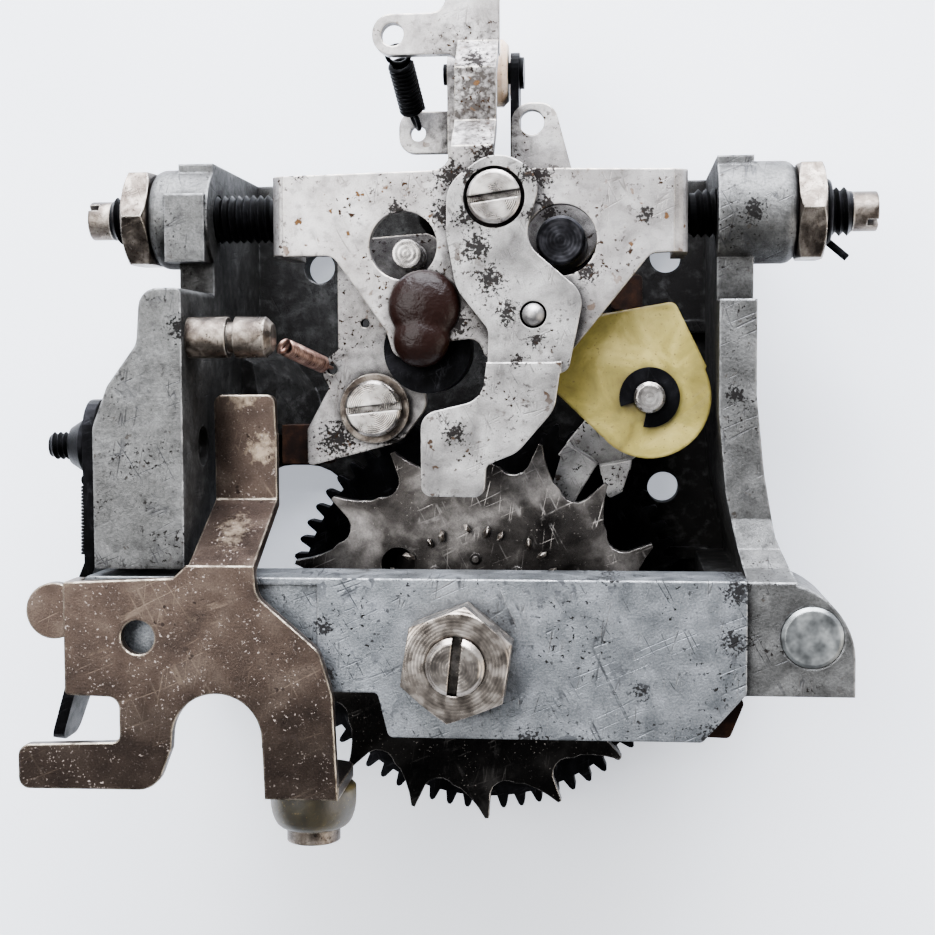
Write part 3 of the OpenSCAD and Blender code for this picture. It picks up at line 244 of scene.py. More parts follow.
            where = add(tree, "ShaderNodeValToRGB", {
                "Fac": add(tree, "ShaderNodeTexNoise", {
                    "Vector": at, "Scale": per_metre(spots[1] * 9), "Detail": 2.0,
                    "Roughness": 0.55}).outputs["Fac"]}, stops=[(0.47, 0.1), (0.6, 1.0)]).outputs["Color"]
            mask = add(tree, "ShaderNodeMath", {0: mask, 1: where}, operation="MULTIPLY").outputs[0]
            colour = add(tree, "ShaderNodeMix", {MIX_FACTOR: mask, MIX_A: colour, MIX_B: linear(spots[0])},
                data_type="RGBA").outputs[MIX_RESULT]
            if dull is None:
                dull = mask
            else:
                dull = add(tree, "ShaderNodeMath", {0: dull, 1: mask}, operation="MAXIMUM").outputs[0]
    # Darkened where little sky is seen: corner soiling with painted shade, then painted shade reaching far
    # under pieces.
    for layer, low, high in ((grime_and_shade, 0.3, 0.85), (painted_shade, 0.55, 0.92)):
        if layer:
            ragged = add(tree, "ShaderNodeMapRange", {
                "Value": add(tree, "ShaderNodeTexNoise", {
                    "Vector": at, "Scale": per_metre(1.3), "Detail": 4.0, "Roughness": 0.55}).outputs["Fac"],
                "From Min": 0.3, "From Max": 0.7, "To Min": -0.22, "To Max": 0.22}).outputs["Result"]
            near = add(tree, "ShaderNodeMath", {0: shelter(tree, layer[1], low, high), 1: ragged},
                       operation="ADD", use_clamp=True).outputs[0]
            near = add(tree, "ShaderNodeMath", {0: near, 1: layer[2]}, operation="MULTIPLY").outputs[0]
            colour = add(tree, "ShaderNodeMix", {MIX_FACTOR: near, MIX_A: colour, MIX_B: linear(layer[0])},
                data_type="RGBA").outputs[MIX_RESULT]
            if dull is None:
                dull = near
            else:
                dull = add(tree, "ShaderNodeMath", {0: dull, 1: near}, operation="MAXIMUM").outputs[0]
    if dull is not None:
        rough = add(tree, "ShaderNodeMath", {
            0: rough,
            1: add(tree, "ShaderNodeMath", {0: dull, 1: 0.3}, operation="MULTIPLY").outputs[0]},
            operation="ADD", use_clamp=True).outputs[0]
    shader.inputs["Metallic"].default_value = metallic
    bumped = add(tree, "ShaderNodeBump", {
        "Height": height, "Normal": normal, "Strength": bump, "Distance": 0.06 * MM})
    tree.links.new(colour, shader.inputs["Base Color"])
    tree.links.new(rough, shader.inputs["Roughness"])
    tree.links.new(bumped.outputs[0], shader.inputs["Normal"])
    return material


# ---------------------------------------------------------------- materials

# Die-cast zinc alloy, tumbled: dull grey skin with fine grain and pits; black corners of oily soiling and
# painted shade, painted shade deep inside the frame, and edges lightened by wear and a painted highlight.
DIE_CAST_ZINC = metal(
    "die_cast_zinc", ("#50504f", "#5f5f5e", "#717170"), 3.4, (0.38, 0.56), 0.82, 0.5, 0.28, 0.9,
    scratch=(0.7, 2.2, "#26262a"), grime_and_shade=("#100d0b", 3.0, 0.9), painted_shade=("#080706", 26.0, 1.0),
    wear_and_glint=("#c4c5c6", 0.9), specks=("#161311", 0.4, 0.60), stains=("#3f3b37", 0.9, 0.66),
    grease=("#0b0908", 0.35, ((-25.5, 45.5, 4.4), (29.5, 45, 2.6), (-28, 33, 2.4), (27.6, 26, 2.0))),
    round_mm=0.4)

# The same alloy, filed flat on the bar: brighter, with deeper dark scratches and nicks, soiling and painted
# shade in its corners, and edges lightened by wear and a painted highlight.
FILED_ZINC = metal(
    "filed_zinc", ("#707478", "#818589", "#92969b"), 3.0, (0.30, 0.50), 0.85, 0.5, 0.22, 0.9,
    scratch=(0.9, 2.0, "#222326"), grime_and_shade=("#15110f", 2.2, 0.8), wear_and_glint=("#c6c8ca", 0.85),
    specks=("#141211", 0.5, 0.61), stains=("#45474a", 1.4, 0.58),
    grease=("#121010", 0.32, ((27.5, 7, 3.0), (27, 2, 2.6), (25, -7.4, 2.6), (7, -8.2, 2.6),
                              (-13.8, 3, 2.0), (-13.6, -2, 2.0), (15, 8.6, 2.4), (18, -3, 1.8))),
    round_mm=0.3)

# Satin nickel plating on pressed steel: bright and warm, with spots and smears of old grease; painted shade
# in its corners, under other pieces and on the middle of the arm, and edges lightened by wear and a painted
# highlight.
SATIN_NICKEL = metal(
    "satin_nickel", ("#969290", "#b2aeac", "#ccc9c7"), 4.5, (0.27, 0.42), 0.92, 0.26, 0.15, 0.4,
    scratch=(0.6, 1.7, "#5d5652"), grime_and_shade=("#150e0a", 2.4, 0.95), painted_shade=("#0b0807", 10.0, 0.85),
    wear_and_glint=("#f1e6d4", 0.9), specks=("#2b1d13", 0.45, 0.60), stains=("#5a4028", 1.5, 0.64),
    grease=("#0a0604", 0.4, ((2.6, 50.3, 4.2), (-1.6, 48.8, 3.4), (-2.2, 44.8, 3.0), (7.6, 48.6, 3.0),
                             (8.2, 45.6, 2.0), (-7.2, 45.2, 2.2), (-1.2, 33.4, 3.2), (-3.0, 37.6, 2.4),
                             (12.5, 38.6, 2.2), (-15.0, 21.0, 4.4), (-16.6, 31.0, 3.6), (-8.6, 20.4, 3.4),
                             (0.6, 61.6, 2.4), (-17.5, 49.4, 1.8), (18.5, 44.5, 1.8))),
    painted_highlight_and_shade=("#231d18", 0.8, ((0.5, 56.4, 9.0), (0.5, 59.2, 9.0))), round_mm=0.28)

# Nickel-plated finger, scuffed by coins: a lighter grey with many hairlines and black grease, soiling and
# painted shade in its corners, and edges lightened by wear and a painted highlight.
RUBBED_NICKEL = metal(
    "rubbed_nickel", ("#7c7a79", "#a09e9c", "#bfbdbb"), 3.5, (0.29, 0.45), 0.9, 0.34, 0.13, 0.45,
    scratch=(0.8, 1.3, "#3c3836"), grime_and_shade=("#120c09", 1.6, 0.95), wear_and_glint=("#e6e1da", 0.85),
    specks=("#1f1611", 0.4, 0.60), stains=("#43352a", 1.3, 0.63),
    grease=("#0b0705", 0.36, ((0.2, 44.2, 2.6), (1.2, 41.2, 2.8), (2.6, 38.0, 2.8), (4.4, 34.6, 2.4),
                             (6.6, 48.6, 2.2), (7.0, 44.6, 1.8), (1.2, 27.6, 2.2), (-1.0, 22.2, 2.4),
                             (7.2, 31.8, 1.6), (5.4, 29.6, 1.6), (0.4, 48.6, 2.0))), round_mm=0.22)

# Dull passivated plating on the bracket: brown-grey with pale flecks; bright bends from wear and painted
# highlights, soiling and painted shade in its corners, and painted shade darkening its lower end (low Y).
PASSIVATED_STEEL = metal(
    "passivated_steel", ("#40352f", "#4d4038", "#5d5047"), 4.0, (0.27, 0.44), 0.9, 0.42, 0.2, 0.5,
    scratch=(0.28, 2.6, "#8d7c6c"), grime_and_shade=("#0b0807", 2.0, 0.8), wear_and_glint=("#e6d8c2", 1.0),
    painted_highlight_and_shade=("#a08f7b", 0.8, ((-24.2, 26.0, 2.4), (-22.0, 20.4, 2.2), (-23.8, 12.2, 2.2))),
    shade_toward_low_y=(0.0, -9.0, 0.62),
    specks=("#a3968e", 0.26, 0.64), stains=("#2c2420", 1.2, 0.66), round_mm=0.32)

# Oiled tool steel of the star wheel: nearly black, with bright hairlines; tooth edges lightened by wear and a
# painted highlight, painted shade in corners and under other pieces, and painted shade darkening all below 6
# mm in Y.
OILED_STEEL = metal(
    "oiled_steel", ("#1c1917", "#4a4643", "#a8a29d"), 7.0, (0.18, 0.38), 0.92, 0.4, 0.2, 0.4,
    scratch=(0.7, 1.9, "#b5afaa"), grime_and_shade=("#080605", 2.5, 0.9), painted_shade=("#030202", 13.0, 0.9),
    wear_and_glint=("#d8d2cb", 1.0), specks=("#8d8781", 0.3, 0.66), shade_toward_low_y=(6.0, -8.0, 0.92), round_mm=0.18)

# Blackened steel: gear, studs, clips and threads, with a soft sheen, painted shade in corners and under other
# pieces, and thin edges lightened by wear and a painted highlight.
BLACKENED_STEEL = metal(
    "blackened_steel", ("#060607", "#0e0e10", "#1c1c1f"), 3.0, (0.34, 0.5), 0.97, 0.35, 0.18, 0.4,
    scratch=(0.3, 1.2, "#48484c"), grime_and_shade=("#020202", 1.5, 0.8), painted_shade=("#010101", 12.0, 0.95),
    wear_and_glint=("#3f3f43", 0.5), round_mm=0.12)

# Dull zinc-plated nuts: tan-grey, with handling marks, roots darkened by soiling and painted shade, and edges
# lightened by wear and a painted highlight.
DULL_PLATED_NUT = metal(
    "dull_plated_nut", ("#332c27", "#615850", "#a0968b"), 1.8, (0.22, 0.42), 0.93, 0.4, 0.16, 0.6,
    scratch=(0.7, 1.0, "#342d28"), grime_and_shade=("#120c09", 1.6, 0.9), wear_and_glint=("#e8e0d4", 0.9),
    specks=("#2b221b", 0.3, 0.62), round_mm=0.25)

# Steel gone brown with old rust and oily residue, with painted shade in corners and under other pieces, and
# edges lightened by wear and a painted highlight.
BROWNED_STEEL = metal(
    "browned_steel", ("#1b0e09", "#2f1b12", "#4d2f1e"), 1.6, (0.45, 0.65), 0.85, 0.4, 0.2, 0.6,
    grime_and_shade=("#0a0503", 1.5, 0.8), painted_shade=("#060302", 14.0, 0.7), wear_and_glint=("#7d6148", 0.5), round_mm=0.15)

# Copper-washed spring wire: fine and pinkish, with gaps darkened by soiling and painted shade.
COPPER_WASHED = metal(
    "copper_washed_wire", ("#57403a", "#7c6055", "#a8897a"), 1.0, (0.25, 0.4), 0.95, 0.2, 0.1, 0.2,
    grime_and_shade=("#130a07", 0.5, 0.8), round_mm=0.03)


def turned_face(name, centre, pitch_mm, tones, roughness, groove):
    """A lathe-turned metal face: rings about an upright axis, with painted shade and oily residue between
    their crests, and soiling and painted shade in its corners.
    """
    material, tree, shader = new_material(name)
    at = add(tree, "ShaderNodeTexCoord").outputs["Object"]
    centred = add(tree, "ShaderNodeMapping", {
        "Vector": at, "Location": (-centre[0] * MM, -centre[1] * MM, 0.0)}).outputs[0]
    rings = add(tree, "ShaderNodeTexWave", {
        "Vector": centred, "Scale": per_metre(pitch_mm) * RING_SCALE, "Distortion": 0.25, "Detail": 1.0,
        "Detail Scale": 2.0}, wave_type="RINGS", rings_direction="Z").outputs["Fac"]
    blotch = add(tree, "ShaderNodeTexNoise", {
        "Vector": at, "Scale": per_metre(1.6), "Detail": 2.0, "Roughness": 0.55}).outputs["Fac"]
    colour = add(tree, "ShaderNodeValToRGB", {"Fac": blotch}, stops=[
        (0.3, tones[0]), (0.5, tones[1]), (0.7, tones[2])]).outputs["Color"]
    fade = add(tree, "ShaderNodeMapRange", {
        "Value": add(tree, "ShaderNodeTexNoise", {
            "Vector": at, "Scale": per_metre(2.5), "Detail": 2.0, "Roughness": 0.55}).outputs["Fac"],
        "From Min": 0.35, "From Max": 0.65}).outputs["Result"]
    # Painted shade and oily residue: the grooves between ring crests darkened, faded out in places.
    shade = add(tree, "ShaderNodeValToRGB", {"Fac": rings}, stops=[
        (0.0, 1 - groove), (0.35, 1.0)]).outputs["Color"]
    shade = add(tree, "ShaderNodeMix", {MIX_FACTOR: fade, MIX_A: shade, MIX_B: (1.0, 1.0, 1.0, 1.0)},
        data_type="RGBA").outputs[MIX_RESULT]
    colour = add(tree, "ShaderNodeMix", {MIX_FACTOR: 1.0, MIX_A: colour, MIX_B: shade}, data_type="RGBA",
        blend_type="MULTIPLY").outputs[MIX_RESULT]
    ragged = add(tree, "ShaderNodeMapRange", {
        "Value": add(tree, "ShaderNodeTexNoise", {
            "Vector": at, "Scale": per_metre(0.7), "Detail": 4.0, "Roughness": 0.55}).outputs["Fac"],
        "From Min": 0.3, "From Max": 0.7, "To Min": -0.25, "To Max": 0.25}).outputs["Result"]
    # Soiling and painted shade in the corners, where little sky is seen.
    dirt_and_shade = add(tree, "ShaderNodeMath", {0: shelter(tree, 1.2, 0.35, 0.85), 1: ragged}, operation="ADD",
               use_clamp=True).outputs[0]
    colour = add(tree, "ShaderNodeMix", {MIX_FACTOR: dirt_and_shade, MIX_A: colour, MIX_B: linear("#0b0705")},
        data_type="RGBA").outputs[MIX_RESULT]
    normal = add(tree, "ShaderNodeBevel", {"Radius": 0.22 * MM}, samples=4).outputs["Normal"]
    bumped = add(tree, "ShaderNodeBump", {
        "Height": rings, "Normal": normal, "Strength": 0.25, "Distance": 0.03 * MM}).outputs[0]
    tree.links.new(colour, shader.inputs["Base Color"])
    tree.links.new(
        add(tree, "ShaderNodeMapRange", {
            "Value": blotch, "From Min": 0.3, "From Max": 0.7, "To Min": roughness[0],
            "To Max": roughness[1]}).outputs["Result"], shader.inputs["Roughness"])
    tree.links.new(bumped, shader.inputs["Normal"])
    shader.inputs["Metallic"].default_value = 0.95
    return material


# Turned rings on the main nut, and fine ones on screw heads and pin ends.
TURNED_NUT = turned_face(
    "turned_nut_face", (0, 0), 0.33, ("#6a6159", "#978d83", "#c4bab0"), (0.18, 0.34), 0.4)
TURNED_STUD = turned_face(
    "turned_stud_end", (0, 0), 0.3, ("#6f6861", "#9b9289", "#c9c1b8"), (0.18, 0.34), 0.25)
TURNED_LEVER_SCREW = turned_face(
    "turned_lever_screw", (-10.8, 24.5), 0.2, ("#77716c", "#a7a19b", "#d2cdc7"), (0.2, 0.34), 0.25)
TURNED_FINGER_SCREW = turned_face(
    "turned_finger_screw", (3, 46.3), 0.2, ("#77716c", "#a29c97", "#cbc6c1"), (0.22, 0.36), 0.25)
TURNED_CAM_STUD = turned_face(
    "turned_cam_stud", (19, 25.7), 0.5, ("#8d8782", "#bcb6b0", "#e6e2dd"), (0.2, 0.32), 0.25)
TURNED_LEVER_PIN = turned_face(
    "turned_lever_pin", (-6.5, 40.9), 0.5, ("#8f8a85", "#c2bdb8", "#ebe7e3"), (0.2, 0.32), 0.25)
TURNED_DARK_STUD = turned_face(
    "turned_dark_stud", (9.7, 42.1), 0.4, ("#0c0c0e", "#1c1c1f", "#37373b"), (0.3, 0.45), 0.3)
TURNED_RIVET = turned_face(
    "turned_rivet_end", (34.7, 2.3), 1.2, ("#5c5e5e", "#7f8282", "#a2a5a4"), (0.35, 0.5), 0.15)


def nylon_material(name, tones, dirty):
    """Cast nylon, yellowed by age: waxy, a little light passes through it, with oily soiling at its edges and
    painted shade in its corners and under other pieces.
    """
    material, tree, shader = new_material(name)
    at = add(tree, "ShaderNodeTexCoord").outputs["Object"]
    cloud = add(tree, "ShaderNodeTexNoise", {
        "Vector": at, "Scale": per_metre(4.5), "Detail": 5.0, "Roughness": 0.6,
        "Distortion": 0.4}).outputs["Fac"]
    colour = add(tree, "ShaderNodeValToRGB", {"Fac": cloud}, stops=[
        (0.32, tones[0]), (0.52, tones[1]), (0.7, tones[2])]).outputs["Color"]
    spots = add(tree, "ShaderNodeValToRGB", {
        "Fac": add(tree, "ShaderNodeTexNoise", {
            "Vector": at, "Scale": per_metre(0.32), "Detail": 2.0, "Roughness": 0.55}).outputs["Fac"]},
        stops=[(0.65, 0.0), (0.69, 0.8)]).outputs["Color"]
    colour = add(tree, "ShaderNodeMix", {MIX_FACTOR: spots, MIX_A: colour, MIX_B: linear("#5a4a22")},
        data_type="RGBA").outputs[MIX_RESULT]
    normal = add(tree, "ShaderNodeBevel", {"Radius": 0.45 * MM}, samples=4).outputs["Normal"]
    true_normal = add(tree, "ShaderNodeNewGeometry").outputs["Normal"]
    alike = add(tree, "ShaderNodeVectorMath", {0: normal, 1: true_normal}, operation="DOT_PRODUCT")
    edge = add(tree, "ShaderNodeMapRange", {
        "Value": alike.outputs["Value"], "From Min": 0.985, "From Max": 0.85,
        "To Max": dirty}).outputs["Result"]
    ragged = add(tree, "ShaderNodeValToRGB", {
        "Fac": add(tree, "ShaderNodeTexNoise", {
            "Vector": at, "Scale": per_metre(0.8), "Detail": 4.0, "Roughness": 0.55}).outputs["Fac"]},
        stops=[(0.35, 0.3), (0.65, 1.0)]).outputs["Color"]
    colour = add(tree, "ShaderNodeMix", {
        MIX_FACTOR: add(tree, "ShaderNodeMath", {0: edge, 1: ragged}, operation="MULTIPLY").outputs[0],
        MIX_A: colour, MIX_B: linear("#3a2c0e")}, data_type="RGBA").outputs[MIX_RESULT]
    # Painted shade: brown-black laid where little sky is seen, in corners and under other pieces.
    open_sky = add(tree, "ShaderNodeAmbientOcclusion", {"Distance": 1.5 * MM}, samples=4).outputs["AO"]
    colour = add(tree, "ShaderNodeMix", {
        MIX_FACTOR: add(tree, "ShaderNodeMapRange", {
            "Value": open_sky, "From Min": 0.7, "From Max": 0.3, "To Max": 0.75}).outputs["Result"],
        MIX_A: colour, MIX_B: linear("#2d2410")}, data_type="RGBA").outputs[MIX_RESULT]
    lines = scratches(tree, at, 38, 0.5, 16, 0.012, 0.4)
    height = add(tree, "ShaderNodeMath", {
        0: add(tree, "ShaderNodeTexNoise", {
            "Vector": at, "Scale": per_metre(0.3), "Detail": 3.0, "Roughness": 0.55}).outputs["Fac"],
        1: lines}, operation="SUBTRACT").outputs[0]
    bumped = add(tree, "ShaderNodeBump", {
        "Height": height, "Normal": normal, "Strength": 0.25, "Distance": 0.05 * MM}).outputs[0]
    tree.links.new(colour, shader.inputs["Base Color"])
    tree.links.new(bumped, shader.inputs["Normal"])
    tree.links.new(
        add(tree, "ShaderNodeMapRange", {
            "Value": cloud, "From Min": 0.3, "From Max": 0.7,
            "To Min": 0.34, "To Max": 0.5}).outputs["Result"],
        shader.inputs["Roughness"])
    shader.inputs["IOR"].default_value = 1.53
    shader.inputs["Subsurface Weight"].default_value = 0.35
    shader.inputs["Subsurface Radius"].default_value = (1.0, 0.7, 0.3)
    shader.inputs["Subsurface Scale"].default_value = 0.8 * MM
    return material


AGED_NYLON = nylon_material("aged_nylon", ("#5e5219", "#84772f", "#ab9b50"), 1.0)
OILY_NYLON = nylon_material("oily_nylon", ("#161206", "#2d2611", "#54492a"), 1.0)
TAN_NYLON = nylon_material("tan_nylon", ("#9a8069", "#c0a68e", "#dcc8b3"), 0.9)


def lacquer_material():
    """Locking lacquer, brushed on thick: nearly black in the middle, orange further out, brown last."""
    material, tree, shader = new_material("locking_lacquer")
    at = add(tree, "ShaderNodeTexCoord").outputs["Object"]
    centred = add(tree, "ShaderNodeMapping", {
        "Vector": at, "Location": (4.5 * MM, -35.0 * MM, 0.0), "Scale": (1.0, 0.72, 0.0)}).outputs[0]
    far = add(tree, "ShaderNodeVectorMath", {0: centred}, operation="LENGTH").outputs["Value"]
    ragged = add(tree, "ShaderNodeMapRange", {
        "Value": add(tree, "ShaderNodeTexNoise", {
            "Vector": at, "Scale": per_metre(1.6), "Detail": 4.0, "Roughness": 0.65,
            "Distortion": 1.2}).outputs["Fac"], "From Min": 0.3, "From Max": 0.7,
        "To Min": -2.2 * MM, "To Max": 2.2 * MM}).outputs["Result"]
    reach = add(tree, "ShaderNodeMath", {0: far, 1: ragged}, operation="ADD").outputs[0]
    colour = add(tree, "ShaderNodeValToRGB", {
        "Fac": add(tree, "ShaderNodeMapRange", {
            "Value": reach, "From Min": 0.0, "From Max": 4.0 * MM}).outputs["Result"]},
        stops=[
            (0.28, "#040101"), (0.43, "#120303"), (0.53, "#a82404"), (0.7, "#f0620e"),
            (0.82, "#5a1e0a"), (0.95, "#120604")]).outputs["Color"]
    skin = add(tree, "ShaderNodeTexNoise", {
        "Vector": at, "Scale": per_metre(0.9), "Detail": 3.0, "Roughness": 0.6}).outputs["Fac"]
    bumped = add(tree, "ShaderNodeBump", {"Height": skin, "Strength": 0.7, "Distance": 0.2 * MM}).outputs[0]
    tree.links.new(colour, shader.inputs["Base Color"])
    tree.links.new(bumped, shader.inputs["Normal"])
    shader.inputs["Roughness"].default_value = 0.34
    shader.inputs["IOR"].default_value = 1.52
    shader.inputs["Specular IOR Level"].default_value = 0.12
    return material


LOCKING_LACQUER = lacquer_material()

FINISHES = {
    "frame": DIE_CAST_ZINC, "front_bar": FILED_ZINC, "main_stud": TURNED_STUD, "main_nut": TURNED_NUT,
    "foot_rivet": TURNED_RIVET, "left_lock_nut": DULL_PLATED_NUT, "right_lock_nut": DULL_PLATED_NUT,
    "lock_wire": BLACKENED_STEEL, "bar_screws": OILED_STEEL, "corner_plate": BROWNED_STEEL,
    "bump_stop": BROWNED_STEEL, "wheel_hub": OILED_STEEL, "star_wheel": OILED_STEEL,
    "ratchet_wheel": OILED_STEEL, "gear_wheel": BLACKENED_STEEL, "rocker_plate": SATIN_NICKEL,
    "finger_lever": RUBBED_NICKEL, "finger_screw": TURNED_FINGER_SCREW, "finger_pin": RUBBED_NICKEL,
    "adjusting_screw": BLACKENED_STEEL, "lacquer_seal": LOCKING_LACQUER, "eccentric_bush": BLACKENED_STEEL,
    "cam_stud": TURNED_CAM_STUD, "nylon_cam": AGED_NYLON, "cam_clip": BLACKENED_STEEL,
    "detent_pawl": RUBBED_NICKEL, "lever_post": OILED_STEEL, "pawl_lever": SATIN_NICKEL,
    "lever_screw": TURNED_LEVER_SCREW, "lever_collar": DULL_PLATED_NUT, "lever_pin": TURNED_LEVER_PIN,
    "lever_nose": BROWNED_STEEL, "spring_post": DULL_PLATED_NUT, "lever_spring": COPPER_WASHED,
    "upper_stud": TURNED_DARK_STUD, "upper_lever": SATIN_NICKEL, "back_pivot_pin": OILED_STEEL,
    "back_lever": SATIN_NICKEL, "back_arm": BLACKENED_STEEL, "back_roller": TAN_NYLON,
    "back_roller_pin": BLACKENED_STEEL,
    "arm_spring": BLACKENED_STEEL, "bracket": PASSIVATED_STEEL, "bracket_pin": OILED_STEEL,
    "bracket_roller": OILY_NYLON, "roller_stud": DULL_PLATED_NUT, "outer_lever": BLACKENED_STEEL,
    "outer_stud": BLACKENED_STEEL, "outer_nut": BLACKENED_STEEL, "outer_washer": OILED_STEEL,
    "outer_spring": BLACKENED_STEEL, "left_pivot_screw": BLACKENED_STEEL,
    "right_pivot_screw": BLACKENED_STEEL,
}


def finish(piece, material):
    piece.data.materials.clear()
    piece.data.materials.append(material)


for name, material in FINISHES.items():
    finish(NODES[name], material)


# ---------------------------------------------------------------- modelling helpers

def clear_selection():
    if bpy.context.object and bpy.context.object.mode != "OBJECT":
        bpy.ops.object.mode_set(mode="OBJECT")
    bpy.ops.object.select_all(action="DESELECT")


def take(piece):
    clear_selection()
    piece.select_set(True)
    bpy.context.view_layer.objects.active = piece


def settle(piece):
    """Leaves the piece's object at the origin, with its place in its mesh."""
    take(piece)
    bpy.ops.object.transform_apply(location=True, rotation=True, scale=True)


def place(piece, matrix):
    piece.matrix_world = matrix
    settle(piece)


def join(name, pieces):
    clear_selection()
    for piece in pieces:
        piece.select_set(True)
    bpy.context.view_layer.objects.active = pieces[0]
    bpy.ops.object.join()
    whole = bpy.context.object
    whole.name = name
    whole.data.name = name
    return whole


def apply_all(piece):
    take(piece)
    for modifier in list(piece.modifiers):
        bpy.ops.object.modifier_apply(modifier=modifier.name)


def smooth(piece, angle=35):
    take(piece)
    bpy.ops.object.shade_smooth_by_angle(angle=math.radians(angle))


def along(start, end):
    """Matrix that puts a piece built on +Z from the origin onto the line from start to end."""
    direction = Vector(end) - Vector(start)
    turn = direction.to_track_quat("Z", "Y").to_matrix().to_4x4()
    return Matrix.Translation(Vector(start)) @ turn


def close_ends(piece):
    take(piece)
    bpy.ops.object.mode_set(mode="EDIT")
    bpy.ops.mesh.select_mode(type="VERT")
    bpy.ops.mesh.select_all(action="DESELECT")
    bpy.ops.mesh.select_non_manifold()
    bpy.ops.mesh.fill_holes(sides=0)
    bpy.ops.mesh.select_all(action="SELECT")
    bpy.ops.mesh.normals_make_consistent(inside=False)
    bpy.ops.object.mode_set(mode="OBJECT")


def wire_helix(radius, wire, pitch, turns, sides=8, steps=22):
    """Round wire wound on +Z, its middle line at that radius."""
    clear_selection()
    bpy.ops.mesh.primitive_circle_add(
        vertices=sides, radius=wire, fill_type="NOTHING", location=(radius, 0, 0),
        rotation=(math.pi / 2, 0, 0))
    coil = bpy.context.object
    settle(coil)
    screw = coil.modifiers.new("wind", "SCREW")
    screw.axis = "Z"
    screw.angle = 2 * math.pi
    screw.screw_offset = pitch
    screw.iterations = turns
    screw.steps = steps
    screw.render_steps = steps
    apply_all(coil)
    close_ends(coil)
    return coil


def wire_loop(radius, wire, centre, rotation):
    clear_selection()
    bpy.ops.mesh.primitive_torus_add(
        major_radius=radius, minor_radius=wire, major_segments=40, minor_segments=10,
        location=centre, rotation=rotation)
    loop = bpy.context.object
    settle(loop)
    return loop


def coil_spring(name, start, end, radius, wire, body, material, node):
    """Extension spring between two points, close wound, with a round loop at each end."""
    start, end = [Vector(p) * MM for p in (start, end)]
    radius, wire = radius * MM, wire * MM
    middle = radius - wire
    length = (end - start).length
    loop = 2 * radius - 2 * wire
    body_length = length - 2 * loop
    turns = max(3, round(body_length / (2.12 * wire)))
    coil = wire_helix(middle, wire, body_length / turns, turns)
    take(coil)
    coil.location = (0, 0, loop)
    settle(coil)
    near_loop = wire_loop(middle, wire, (0, 0, loop - radius + wire), (math.pi / 2, 0, 0))
    far_loop = wire_loop(
        middle, wire, (0, 0, length - loop + radius - wire), (math.pi / 2, 0, math.radians(70)))
    spring = join(name, [coil, near_loop, far_loop])
    place(spring, along(start, end))
    smooth(spring, 60)
    finish(spring, material)
    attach(spring, body)
    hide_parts(node)
    return spring


def rod(radius, start, end, bevel, sides=48):
    """Round bar on +Z with bevelled rims."""
    clear_selection()
    bpy.ops.mesh.primitive_cylinder_add(
        vertices=sides, radius=radius, depth=end - start, location=(0, 0, (start + end) / 2))
    bar = bpy.context.object
    settle(bar)
    if bevel:
        bpy.ops.object.mode_set(mode="EDIT")
        bpy.ops.mesh.select_mode(type="EDGE")
        bpy.ops.mesh.select_all(action="DESELECT")
        bpy.ops.mesh.edges_select_sharp(sharpness=math.radians(60))
        bpy.ops.mesh.bevel(offset=bevel, segments=3)
        bpy.ops.object.mode_set(mode="OBJECT")
    return bar


def thread(major, minor, pitch, start, end, sides=40):
    """The ridge of a screw thread, wound on +Z, sunk into the core it stands on."""
    clear_selection()
    bpy.ops.mesh.primitive_circle_add(
        vertices=4, radius=pitch * 0.5, fill_type="NOTHING", location=(minor, 0, start + pitch / 2),
        rotation=(math.pi / 2, 0, 0))
    ridge = bpy.context.object
    settle(ridge)
    for vertex in ridge.data.vertices:
        if vertex.co.x > minor + 0.1 * pitch:
            vertex.co.x = major
        elif vertex.co.x < minor - 0.1 * pitch:
            vertex.co.x = minor - 0.3 * pitch
    screw = ridge.modifiers.new("wind", "SCREW")
    screw.axis = "Z"
    screw.angle = 2 * math.pi
    screw.screw_offset = pitch
    screw.iterations = max(1, int((end - start) / pitch - 0.5))
    screw.steps = sides
    screw.render_steps = sides
    apply_all(ridge)
    close_ends(ridge)
    return ridge


def cut_slot(piece, width, depth, at_z, turn):
    """A screwdriver slot across the end of a piece that stands on +Z."""
    clear_selection()
    bpy.ops.mesh.primitive_cube_add(size=1, location=(0, 0, at_z))
    blade = bpy.context.object
    blade.scale = (20 * MM, width, 2 * depth)
    blade.rotation_euler = (0, 0, math.radians(turn))
    settle(blade)
    cutter = piece.modifiers.new("slot", "BOOLEAN")
    cutter.operation = "DIFFERENCE"
    cutter.solver = "EXACT"
    cutter.object = blade
    apply_all(piece)
    bpy.data.objects.remove(blade)


# ---------------------------------------------------------------- pivot screws, with their threads

def pivot_screw(name, outer_x, inner_x, side, plain_end):
    """Threaded pivot with a plain slotted end outside and a plain tip in the rocker's ear."""
    length = abs(outer_x - inner_x) * MM
    tip = 1.5 * MM
    bright = rod(2.1 * MM, 0, plain_end * MM + 0.3 * MM, 0.2 * MM)
    cut_slot(bright, 0.8 * MM, 1.2 * MM, 0, 50)
    finish(bright, DULL_PLATED_NUT)
    core = rod(2.15 * MM, plain_end * MM, length - tip - 0.3 * MM, 0.15 * MM)
    ridge = thread(2.58 * MM, 2.15 * MM, 0.8 * MM, plain_end * MM + 0.1 * MM, length - tip - 0.4 * MM)
    point = rod(1.7 * MM, length - tip - 0.6 * MM, length, 0.1 * MM)
    for part in (core, ridge, point):
        finish(part, BLACKENED_STEEL)
    screw = join(name + "_threaded", [bright, core, ridge, point])
    low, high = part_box(name)
    y, z = (low[1] + high[1]) / 2, (low[2] + high[2]) / 2
    place(screw, along((outer_x * MM, y, z), (outer_x * MM + side * MM, y, z)))
    smooth(screw, 32)
    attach(screw, "frame_body")
    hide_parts(name)


